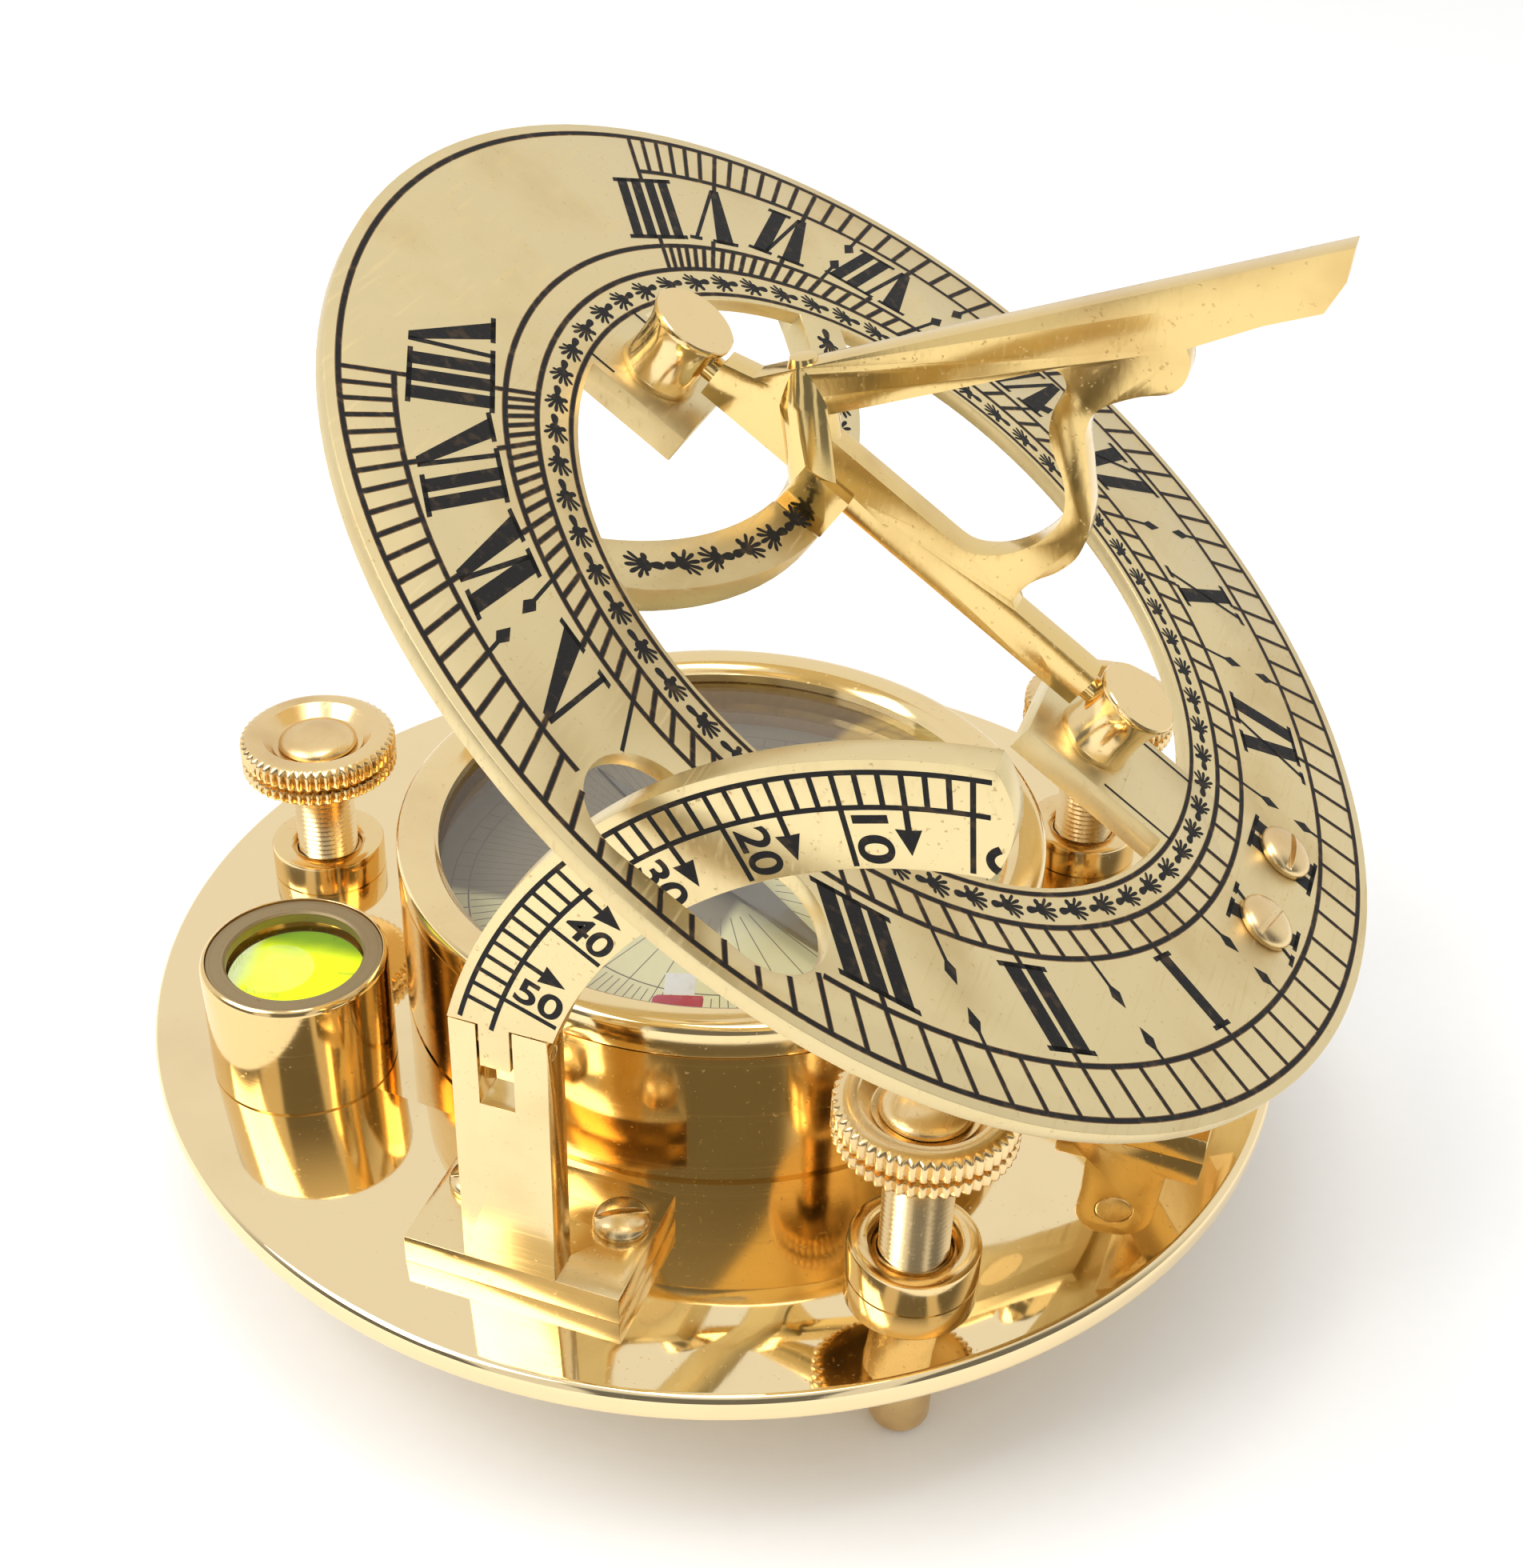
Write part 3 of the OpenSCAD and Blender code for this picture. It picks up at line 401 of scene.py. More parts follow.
@dataclass(frozen=True)
class Steel(Finish):
    """Polished steel with fine hairlines and a few dull clouds."""

    colour: Colour = (0.46, 0.46, 0.47)
    dulled: Colour = (0.25, 0.22, 0.2)

    def shader(self, paint: Paint) -> bpy.types.Node:
        """Mixes bright and dull steel."""
        line = paint.noise(1.0, 2.0, (80.0, 4000.0, 4000.0), 32.0)
        dull = paint.noise(300.0, 3.0).smooth(0.5, 0.8)
        return paint.add("BsdfPrincipled", {
            "Base Color": paint.blend(self.colour, self.dulled, dull * 0.4),
            "Metallic": 1.0, "Roughness": 0.14 + line * 0.16})


@dataclass(frozen=True)
class FloorPaint(Finish):
    """The floor's pale, barely mottled paint."""

    pale: Colour = (0.93, 0.93, 0.92)
    dim: Colour = (0.91, 0.91, 0.90)

    def shader(self, paint: Paint) -> bpy.types.Node:
        """Mixes the two pale colours."""
        colour = paint.blend(self.pale, self.dim, paint.noise(400.0, 2.0))
        return paint.add("BsdfPrincipled", {"Base Color": colour, "Roughness": 0.9})


def clear_selection() -> None:
    """Leaves edit mode and deselects everything."""
    if bpy.context.object is not None and bpy.context.object.mode != "OBJECT":
        bpy.ops.object.mode_set(mode="OBJECT")
    bpy.ops.object.select_all(action="DESELECT")


def choose(piece: bpy.types.Object) -> None:
    """Makes a piece the only selected one, and active.

    Args:
        piece: the object.
    """
    clear_selection()
    piece.select_set(True)
    bpy.context.view_layer.objects.active = piece


def mend_mesh(piece: bpy.types.Object, flat_angle: float = 0.0) -> None:
    """Merges doubles, dissolves flat edges and turns the faces outwards.

    Args:
        piece: the object.
        flat_angle: edges flatter than this many degrees are dissolved, if it is over 0.
    """
    choose(piece)
    bpy.ops.object.mode_set(mode="EDIT")
    bpy.ops.mesh.select_all(action="SELECT")
    bpy.ops.mesh.remove_doubles(threshold=0.002 * MM)
    if flat_angle:
        bpy.ops.mesh.dissolve_limited(angle_limit=math.radians(flat_angle))
        bpy.ops.mesh.select_all(action="SELECT")
    bpy.ops.mesh.normals_make_consistent(inside=False)
    bpy.ops.object.mode_set(mode="OBJECT")


def shade(piece: bpy.types.Object) -> None:
    """Shades a piece smooth, but for its sharp edges."""
    choose(piece)
    bpy.ops.object.shade_smooth_by_angle(angle=math.radians(SMOOTH_ANGLE))


def soften(piece: bpy.types.Object, width: float, segments: int = 2, angle: float = 30.0) -> None:
    """Rounds a piece's edges and shades it.

    Args:
        piece: the object.
        width: the rounding in millimetres.
        segments: steps in the rounding.
        angle: edges sharper than this many degrees are rounded.
    """
    choose(piece)
    bevel = piece.modifiers.new("rounding", "BEVEL")
    bevel.width, bevel.segments = width * MM, segments
    bevel.limit_method, bevel.angle_limit = "ANGLE", math.radians(angle)
    bevel.miter_outer = "MITER_ARC"
    bpy.ops.object.modifier_apply(modifier=bevel.name)
    shade(piece)


def settle(piece: bpy.types.Object, place: Matrix) -> bpy.types.Object:
    """Puts a piece's place into its mesh and leaves its object at the origin.

    Args:
        piece: the object.
        place: where it goes, as a matrix in metres.
    Returns:
        The same object.
    """
    choose(piece)
    piece.matrix_world = place @ piece.matrix_world
    bpy.ops.object.transform_apply(location=True, rotation=True, scale=True)
    return piece


def at(x: float, y: float, z: float) -> Matrix:
    """A place in millimetres, upright."""
    return Matrix.Translation(Vector((x, y, z)) * MM)


def around(radius: float, turn: float) -> Point:
    """The point at a radius and an angle in degrees."""
    angle = math.radians(turn)
    return radius * math.cos(angle), radius * math.sin(angle)


def aim(turn: float) -> Vector:
    """The direction at an angle in degrees."""
    return Vector(around(1.0, turn))


def left_of(way: Vector) -> Vector:
    """The direction a quarter turn to the left of another."""
    return Vector((-way.y, way.x))


def mirrored(half: Outline) -> Outline:
    """The outline of a shape about the x axis, from its upper half up to its tip."""
    return half + [(x, -y) for x, y in half[-2::-1]]


def laid(outline: Outline, start: Vector, along: Vector, across: Vector) -> Outline:
    """Lays an outline down from a start, its x along one direction and its y across it."""
    spots = [start + along * x + across * y for x, y in outline]
    return [(p.x, p.y) for p in spots]


def turned(name: str, profile: Outline, place: Matrix = HERE, sides: int = 128,
           ring: bool = False) -> bpy.types.Object:
    """Turns a piece: a circle is extruded and scaled from step to step.

    Args:
        name: the piece's name.
        profile: radius and height of each step, in millimetres; a first or last step on the
            axis closes that end.
        place: the axis' place, as a matrix in metres.
        sides: faces round the axis.
        ring: joins the last step to the first, for a piece with a bore.
    Returns:
        The object.
    """
    clear_selection()
    steps = profile[1:] if profile[0][0] == 0 else profile
    fill = "NGON" if profile[0][0] == 0 else "NOTHING"
    radius, height = steps[0]
    bpy.ops.mesh.primitive_circle_add(vertices=sides, radius=radius * MM, fill_type=fill,
                                      location=(0, 0, height * MM), enter_editmode=True)
    piece = bpy.context.object
    piece.name = piece.data.name = name
    bpy.ops.mesh.select_mode(type="EDGE")
    bpy.ops.mesh.select_all(action="SELECT")
    for next_radius, next_height in steps[1:]:
        if next_radius == 0 and next_height == height:
            bpy.ops.mesh.edge_face_add()
            break
        bpy.ops.mesh.extrude_edges_move(
            TRANSFORM_OT_translate={"value": (0, 0, (next_height - height) * MM)})
        if next_radius == 0:
            bpy.ops.mesh.merge(type="CENTER")
            break
        share = next_radius / radius
        bpy.ops.transform.resize(value=(share, share, 1), center_override=(0, 0, next_height * MM))
        radius, height = next_radius, next_height
    bpy.ops.object.mode_set(mode="OBJECT")
    if ring:
        join_ends(piece, steps, sides)
    mend_mesh(piece)
    shade(piece)
    return settle(piece, place)


def join_ends(piece: bpy.types.Object, steps: Outline, sides: int) -> None:
    """Bridges a turned ring's first and last loops.

    Args:
        piece: the turned piece, with its vertices in the order of the steps.
        steps: the steps that it was turned by.
        sides: faces round the axis.
    """
    choose(piece)
    last = len(steps) - 1
    for index, vertex in enumerate(piece.data.vertices):
        vertex.select = index // sides in (0, last)
    for edge in piece.data.edges:
        first, second = (v // sides for v in edge.vertices)
        edge.select = first == second and first in (0, last)
    for face in piece.data.polygons:
        face.select = False
    bpy.ops.object.mode_set(mode="EDIT")
    bpy.ops.mesh.select_mode(type="EDGE")
    bpy.ops.mesh.bridge_edge_loops()
    bpy.ops.object.mode_set(mode="OBJECT")


def select_points(piece: bpy.types.Object, test: Callable[[bpy.types.MeshVertex], bool]) -> None:
    """Opens a piece for editing with just the vertices selected that pass a test.

    Args:
        piece: the object.
        test: says if a vertex is selected.
    """
    choose(piece)
    for vertex in piece.data.vertices:
        vertex.select = test(vertex)
    for part in (*piece.data.edges, *piece.data.polygons):
        part.select = False
    bpy.ops.object.mode_set(mode="EDIT")
    bpy.ops.mesh.select_mode(type="VERT")


def copy_of(piece: bpy.types.Object, name: str) -> bpy.types.Object:
    """Copies a piece with a mesh of its own.

    Args:
        piece: the object.
        name: its name.
    Returns:
        The copy.
    """
    choose(piece)
    bpy.ops.object.duplicate()
    copy = bpy.context.object
    copy.name = copy.data.name = name
    return copy


def joined(name: str, pieces: list[bpy.types.Object]) -> bpy.types.Object:
    """Joins pieces into one object.

    Args:
        name: its name.
        pieces: the objects.
    Returns:
        The joined object.
    """
    clear_selection()
    for piece in pieces:
        piece.select_set(True)
    bpy.context.view_layer.objects.active = pieces[0]
    bpy.ops.object.join()
    pieces[0].name = pieces[0].data.name = name
    return pieces[0]


def dressed_copy(node: str, rounding: float, segments: int = 2) -> bpy.types.Object:
    """A clean copy of a construction piece with rounded edges.

    Args:
        node: the construction piece's name.
        rounding: rounding of its edges in millimetres.
        segments: steps in the rounding.
    Returns:
        The copy, which stands in the same place.
    """
    choose(frame["nodes"][node])
    bpy.ops.object.duplicate()
    piece = bpy.context.object
    piece.name = piece.data.name = f"{node}_finished"
    piece.parent = None
    for key in list(piece.keys()):
        del piece[key]
    piece.data.materials.clear()
    bpy.ops.mesh.customdata_custom_splitnormals_clear()
    mend_mesh(piece, flat_angle=0.6)
    soften(piece, rounding, segments)
    return piece


def cut_away(piece: bpy.types.Object, cutter: bpy.types.Object) -> None:
    """Cuts one piece out of another and removes the cutter.

    Args:
        piece: the object.
        cutter: the object cut out of it.
    """
    choose(piece)
    cut = piece.modifiers.new("cut", "BOOLEAN")
    cut.operation, cut.object, cut.solver = "DIFFERENCE", cutter, "EXACT"
    bpy.ops.object.modifier_apply(modifier=cut.name)
    bpy.data.objects.remove(cutter)


def drill(piece: bpy.types.Object, place: Matrix, radius: float, low: float, high: float, sides: int) -> None:
    """Drills a plain upright hole.

    Args:
        piece: the object.
        place: the hole's axis, as a matrix in metres.
        radius: the hole's radius in millimetres.
        low: where the hole starts above the place, in millimetres.
        high: where it ends.
        sides: faces round it.
    """
    cut_away(piece, turned("drill", [(0, low), (radius, low), (radius, high), (0, high)], place, sides))


def keep(piece: bpy.types.Object, material: bpy.types.Material, body: str, slot: str,
         *replaced: str) -> None:
    """Dresses a piece, hands it to its body and reports it.

    Args:
        piece: the object.
        material: its material.
        body: the body that it rides on.
        slot: not used.
        replaced: construction pieces that it stands for.
    """
    piece.data.materials.clear()
    piece.data.materials.append(material)
    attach(piece, body)
    if replaced:
        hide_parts(*replaced)
    LOG.info("%s: %d faces on %s", piece.name, len(piece.data.polygons), body)


def keep_copy(node: str, rounding: float, material: bpy.types.Material, body: str, slot: str,
              segments: int = 2) -> None:
    """Keeps a rounded copy in a construction piece's place.

    Args:
        node: the construction piece's name.
        rounding: rounding of its edges in millimetres.
        material: its material.
        body: the body that it rides on.
        slot: the record's material slot.
        segments: steps in the rounding.
    """
    keep(dressed_copy(node, rounding, segments), material, body, slot, node)


def dress_node(node: str, material: bpy.types.Material) -> None:
    """Gives a construction piece that stays its material.

    Args:
        node: the construction piece's name.
        material: its material.
    """
    piece = frame["nodes"][node]
    for slot in piece.material_slots:
        slot.material = material
    LOG.info("%s: construction piece dressed", node)


def middle(node: str) -> Vector:
    """The middle of a construction piece, in millimetres."""
    low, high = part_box(node)
    return (low + high) / 2 / MM


def base_of(node: str) -> float:
    """The lowest height of a construction piece, in millimetres."""
    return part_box(node)[0].z / MM


def top_of(node: str) -> float:
    """The highest height of a construction piece, in millimetres."""
    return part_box(node)[1].z / MM


def arc_steps(centre: Point, radius: float, start: float, end: float, count: int) -> Outline:
    """Points along an arc for a profile.

    Args:
        centre: its centre in the profile.
        radius: its radius.
        start: first angle in degrees, counted from the outward side.
        end: last angle in degrees.
        count: how many points.
    Returns:
        The points.
    """
    spots = [around(radius, start + (end - start) * k / (count - 1)) for k in range(count)]
    return [(centre[0] + x, centre[1] + y) for x, y in spots]


def case_screw_spots() -> list[Point]:
    """Where the three screws stand that hold the compass on the plate."""
    return [around(CASE_SCREWS_R, turn) for turn in (60, 180, 300)]


def stage_object(name: str, data: bpy.types.ID) -> bpy.types.Object:
    """Adds an object to the scene.

    Args:
        name: its name.
        data: its curve, lamp or camera.
    Returns:
        The object.
    """
    thing = bpy.data.objects.new(name, data)
    bpy.context.scene.collection.objects.link(thing)
    return thing


class Graver:
    """Cuts flat inlays in one plane of the sundial."""

    def __init__(self, place: Matrix, depth: float = INLAY_HALF) -> None:
        """Takes the plane as a matrix in metres and the inlays' half depth in millimetres."""
        self.place, self.depth = place, depth

    def inlay(self, name: str, outlines: list[Outline], proud: float) -> bpy.types.Object:
        """Makes one inlay from closed outlines that don't cross.

        Args:
            name: the inlay's name.
            outlines: the outlines in the plane, in millimetres.
            proud: how far the inlay's face stands over the plane, in millimetres.
        Returns:
            The object.
        """
        clear_selection()
        curve = bpy.data.curves.new(name, "CURVE")
        curve.dimensions, curve.fill_mode, curve.extrude = "2D", "BOTH", self.depth * MM
        for outline in outlines:
            spline = curve.splines.new("POLY")
            spline.points.add(len(outline) - 1)
            for point, (x, y) in zip(spline.points, outline):
                point.co = (x * MM, y * MM, 0.0, 1.0)
            spline.use_cyclic_u = True
        choose(stage_object(name, curve))
        bpy.ops.object.convert(target="MESH")
        piece = bpy.context.object
        mend_mesh(piece)
        return settle(piece, self.place @ at(0, 0, proud - self.depth))

    @staticmethod
    def stroke(points: Outline, width: float) -> Outline:
        """The closed outline of a line of some width.

        Args:
            points: the line's points.
            width: its width.
        Returns:
            The outline.
        """
        left, right = [], []
        for index, (x, y) in enumerate(points):
            before = points[max(index - 1, 0)]
            after = points[min(index + 1, len(points) - 1)]
            along = Vector((after[0] - before[0], after[1] - before[1])).normalized()
            side = left_of(along) * (width / 2)
            left.append((x + side.x, y + side.y))
            right.append((x - side.x, y - side.y))
        return left + right[::-1]


def circle_points(radius: float, start: float, end: float, step: float = 1.5) -> Outline:
    """Points on a circle about the plane's origin, angles in degrees."""
    count = max(2, round(abs(end - start) / step) + 1)
    return arc_steps((0.0, 0.0), radius, start, end, count)


# Widths of the numerals' thick strokes.
USUAL_STEM = 1.75
STEMS = {"I": 1.4, "VII": 1.35, "VIII": 1.5, "IIII": 1.25}
# How far the arms of each V spread to its left and right; the afternoon's five spreads its own way.
ARMS = {"V": (2.7, 1.9), "VI": (2.0, 2.0), "VII": (3.5, 0.45), "VIII": (3.4, 0.85)}
AFTERNOON_ARMS = (2.3, 2.8)
# A sprig: the radius of its core, and its two buds and six fingers, each with its aim in degrees, its
# length and its half spread in degrees.
SPRIG_CORE = 0.58
SPRIG_LOBES = ((176, 1.75, 19), (-112, 1.05, 22), (-50, 1.45, 10.5), (-25, 1.65, 10), (-1, 1.7, 10),
               (23, 1.7, 10), (48, 1.5, 10.5), (79, 1.0, 13))
Stroke = tuple[bool, float, float, float, float]


@dataclass
class HourRing:
    """The hour ring: its brass, its hour lines, numerals, sprigs, studs and gnomon.

    In the ring's plane u runs towards noon and v towards the morning, from the ring's centre. The hour
    lines of each half day run out from that half's foot of the gnomon, at foot_u and foot_v. reach and
    stand are the centre's distances from the hinge, along the ring and above it.
    """

    tilt: float = 33.7
    reach: float = 46.9
    stand: float = 17.2
    outer_lines: tuple[float, float] = (54.55, 49.8)
    inner_lines: tuple[float, float] = (39.95, 37.0)
    lip_line: float = 33.8
    lip_share: float = 0.85
    line_w: float = 0.42
    tick_w: float = 0.38
    stain_w: float = 0.16
    arrow_w: float = 0.34
    arrow_tips: tuple[float, float] = (44.7, 46.5)
    arrow_clear: float = 1.3
    barb: Spot = (2.2, 1.35, 0.62)
    foot_u: float = -23.07
    foot_v: float = 2.1
    hour_angle: float = 16.3
    hours: int = 8
    parts: int = 6
    arrow_hours: int = 6
    lost_hour: tuple[int, int] = (-1, 4)
    past_scale: Point = (1.0, 1.2)
    numeral_low: float = 48.75
    numeral_h: float = 7.85
    thin_w: float = 0.5
    x_w: float = 4.6
    v_w: float = 1.95
    letter_gap: float = 0.58
    serif_t: float = 0.46
    serif_over: float = 0.52
    slot_at: Point = (-0.8, -46.95)
    slot_half: float = 5.8
    slot_r: float = 5.25
    sprig_r: float = 35.25
    sprig_pitch: float = 6.2
    bow_pitch: float = 6.1
    bow_sprigs: int = 6
    bow_sprig_size: float = 1.22
    noon_stud: float = 23.0
    midnight_stud: float = -28.2
    screw_at: Point = (44.8, 5.6)
    screw_turns: Point = (75.0, 100.0)
    screw_head: Point = (2.85, 1.6)
    tab_line_v: float = 4.8
    tab_line_w: float = 0.3
    stud_clear: float = 2.6
    bow_centre: float = -50.1
    bow_r: float = 39.7
    stack: float = 4.0

    def __post_init__(self) -> None:
        """Works out the ring's own plane from the hinge."""
        hinge = next(j for j in frame["joints"] if j["name"] == "ring_tilt")["pos_m"]
        self.plane = Matrix.Translation(Vector(hinge)) \
            @ Matrix.Rotation(math.radians(self.tilt), 4, "Y") @ at(-self.reach, 0, self.stand)

    def build(self, shop: "Shop") -> None:
        """Builds and dresses everything that rides on the ring.

        Args:
            shop: the finishes and the slotted screw.
        """
        keep_copy("hour_ring", 0.16, shop.ring_brass, "hour_plate", "ring_brass")
        self.engrave(shop)
        self.studs(shop)
        self.screws(shop)
        keep_copy("hinge_leaf", 0.3, shop.hinge_brass, "hour_plate", "hinge_brass")
        keep_copy("gnomon", 0.42, shop.gnomon_brass, "gnomon_leaf", "gnomon_brass", 3)

    def clear_of_slot(self, point: Point, margin: float = 0.12) -> bool:
        """Says if a point of the ring's face is outside the slot for the arc.

        Args:
            point: the point in the ring's plane.
            margin: how far outside the slot it has to be.
        Returns:
            True if it is outside.
        """
        across = min(max(point[0] - self.slot_at[0], -self.slot_half), self.slot_half)
        gap = math.hypot(point[0] - self.slot_at[0] - across, point[1] - self.slot_at[1])
        return gap > self.slot_r + margin

    def runs(self, points: Outline, width: float) -> list[Outline]:
        """The outlines of a line's stretches outside the slot.

        Args:
            points: the line's points, close together.
            width: its width.
        Returns:
            One outline for each stretch.
        """
        outlines, run = [], []
        for point in points:
            if self.clear_of_slot(point):
                run.append(point)
                continue
            if len(run) > 1:
                outlines.append(Graver.stroke(run, width))
            run = []
        if len(run) > 1:
            outlines.append(Graver.stroke(run, width))
        return outlines

    def on_line(self, side: int, turn: float, radius: float) -> Point:
        """The point at a radius on a line from the gnomon's foot.

        Args:
            side: 1 for the morning and -1 for the afternoon.
            turn: the line's angle from noon, in degrees.
            radius: distance from the ring's centre.
        Returns:
            The point in the ring's plane.
        """
        dx, dy = around(1.0, turn)
        dy *= side
        x, y = self.foot_u, side * self.foot_v
        along = -(x * dx + y * dy) + math.sqrt((x * dx + y * dy) ** 2 - (x * x + y * y - radius * radius))
        return x + along * dx, y + along * dy

    def line(self, side: int, turn: float, start: float, end: float, width: float) -> list[Outline]:
        """The outlines of a line from the gnomon's foot between two radii.

        Args:
            side: 1 for the morning and -1 for the afternoon.
            turn: the line's angle from noon, in degrees.
            start: radius where it starts.
            end: radius where it ends.
            width: the line's width.
        Returns:
            One outline for each stretch outside the slot.
        """
        steps = max(2, round(abs(end - start) / 0.12) + 1)
        radii = [start + (end - start) * k / (steps - 1) for k in range(steps)]
        return self.runs([self.on_line(side, turn, r) for r in radii], width)

    def engrave(self, shop: "Shop") -> None:
        """Cuts the circles, lines, arrows, numerals and sprigs, and their stained edges.

        Args:
            shop: the finishes and the slotted screw.
        """
        graver = Graver(self.plane)
        circles = [(r, self.line_w) for r in (*self.outer_lines, *self.inner_lines)]
        circles.append((self.lip_line, self.line_w * self.lip_share))
        rings, rims, last = [], [], self.hours * self.hour_angle
        for radius, width in circles:
            ends = [math.degrees(math.atan2(*reversed(self.on_line(side, last, radius)))) for side in (-1, 1)]
            start, end = ends if radius == self.outer_lines[1] else (-180.0, 180.0)
            points = circle_points(radius, start, end, 1.0)
            rings += self.runs(points, width)
            rims += self.runs(points, width + self.stain_w)
        ticks, arrows, edges = self.lines_and_arrows()
        layers = [("hour_circles", rings, LINE_UP), ("hour_ticks", ticks, MARK_UP),
                  ("half_hour_arrows", arrows, MARK_UP)]
        layers += [(f"numeral_{layer}", outlines, STEM_UP) for layer, outlines in self.numerals().items()]
        layers.append(("tab_lines", self.tab_lines(), LINE_UP))
        filling = joined("hour_scale_filling", [graver.inlay(*layer) for layer in layers])
        edging = joined("hour_scale_stain", [graver.inlay("circle_stain", rims, STAIN_UP),
                                             graver.inlay("tick_stain", edges, STAIN_UP + 0.002)])
        sprigs = graver.inlay("border_sprigs", self.sprigs(), SPRIG_UP)
        for piece, finish in ((filling, shop.ink), (edging, shop.stain), (sprigs, shop.ink)):
            keep(piece, finish, "hour_plate", "ring_brass")

    def lines_and_arrows(self) -> tuple[list[Outline], list[Outline], list[Outline]]:
        """Outlines of the ticks and hour lines, of the half-hour arrows, and of the ticks' stain.

        The hour lines run on past both scales towards their numerals, but at the hour that the
        slot has cut away.

        Returns:
            The three lists of outlines.
        """
        ticks, arrows, edges = [], [], []
        outer, outer_in = self.outer_lines
        inner, inner_in = self.inner_lines
        for side in (-1, 1):
            for part in range(self.parts * self.hours + 1):
                turn = self.hour_angle * part / self.parts
                hour, rest = divmod(part, self.parts)
                numeral = hour and not rest and (side, hour) != self.lost_hour
                inside_end = inner + self.past_scale[0] if numeral else inner
                outside_start = outer_in - self.past_scale[1] if numeral else outer_in
                for start, end in ((inner_in, inside_end), (outside_start, outer)):
                    ticks += self.line(side, turn, start, end, self.tick_w)
                    edges += self.line(side, turn, start, end, self.tick_w + self.stain_w)
                if rest == self.parts // 2 and hour < self.arrow_hours:
                    for root, tip in zip((inner, outer_in), self.arrow_tips):
                        arrows += self.arrow(side, turn, root, tip)
        return ticks, arrows, edges

    def arrow(self, side: int, turn: float, root: float, tip: float) -> list[Outline]:
        """A half-hour arrow with a lozenge head, unless the slot has taken it away.

        Args:
            side: 1 for the morning and -1 for the afternoon.
            turn: the line's angle from noon, in degrees.
            root: radius where it starts.
            tip: radius where its tip is.
        Returns:
            Its outline.
        """
        start, end = Vector(self.on_line(side, turn, root)), Vector(self.on_line(side, turn, tip))
        if not (self.clear_of_slot(start) and self.clear_of_slot(end, self.arrow_clear)):
            return self.line(side, turn, root, tip, self.arrow_w) if root < tip else []
        way, (back, wing, wing_half) = end - start, self.barb
        length, tail = way.length, self.arrow_w / 2
        half = [(0.0, tail), (length - back, tail), (length - wing, wing_half), (length, 0.0)]
        return [laid(mirrored(half), start, way.normalized(), left_of(way.normalized()))]

    def tab_lines(self) -> list[Outline]:
        """Outlines of the lines on both tabs, from the studs to the border.

        Returns:
            The outlines.
        """
        half, end = self.tab_line_v, math.sqrt(self.lip_line ** 2 - self.tab_line_v ** 2)
        spans = ((self.noon_stud + self.stud_clear, end), (-end, self.midnight_stud - self.stud_clear))
        return [Graver.stroke([(start, side * half), (stop, side * half)], self.tab_line_w)
                for start, stop in spans for side in (-1, 1)]

    def numerals(self) -> dict[str, list[Outline]]:
        """Outlines of all numerals' thick strokes, thin strokes and serifs.

        Returns:
            The outlines by layer.
        """
        layers: dict[str, list[Outline]] = {"stems": [], "hairs": [], "serifs": []}
        morning = ["XI", "X", "IX", "VIII", "VII", "VI", "V", "IIII"]
        afternoon = ["I", "II", "III", "", "V", "VI", "VII", "VIII"]
        for side, names in ((1, morning), (-1, afternoon)):
            for hour, name in enumerate(names, 1):
                self.numeral(name, side, self.hour_angle * hour, 0.0, layers)
        self.numeral("X", 0, 0.0, -self.screw_at[1], layers)
        self.numeral("II", 0, 0.0, self.screw_at[1], layers)
        return layers

    def numeral(self, name: str, side: int, turn: float, aside: float,
                layers: dict[str, list[Outline]]) -> None:
        """Adds one numeral, leaning with its hour line and with its foot outwards.

        Args:
            name: the numeral.
            side: 1 for the morning, -1 for the afternoon and 0 for noon.
            turn: its hour line's angle from noon, in degrees.
            aside: how far it stands beside its line.
            layers: the outlines of stems, hairs and serifs, added to.
        """
        if not name:
            return
        top_r = self.numeral_low - self.numeral_h
        foot, top = (Vector(self.on_line(side, turn, r) if side else (r, 0.0))
                     for r in (self.numeral_low, top_r))
        up = (top - foot) / self.numeral_h
        across = left_of(((foot + top) / 2).normalized())

        def placed(points: Outline) -> Outline:
            """Leans and places points of the upright numeral."""
            return laid([(x + aside, y) for x, y in points], foot, across, up)

        strokes, high = self.letters(name, side, STEMS.get(name, USUAL_STEM)), self.numeral_h
        for thick, low, low_w, top_x, top_w in strokes:
            outline = placed([(top_x, high), (top_x + top_w, high), (low + low_w, 0), (low, 0)])
            layers["stems" if thick else "hairs"].append(outline)
        for level, ends in ((0.0, [(low, low + w) for _, low, w, _, _ in strokes]),
                            (high - self.serif_t, [(t, t + w) for _, _, _, t, w in strokes])):
            layers["serifs"] += [placed(self.serif(a, b, level)) for a, b in self.merged(ends)
                                 if not (level == 0.0 and self.is_apex(strokes, a, b))]

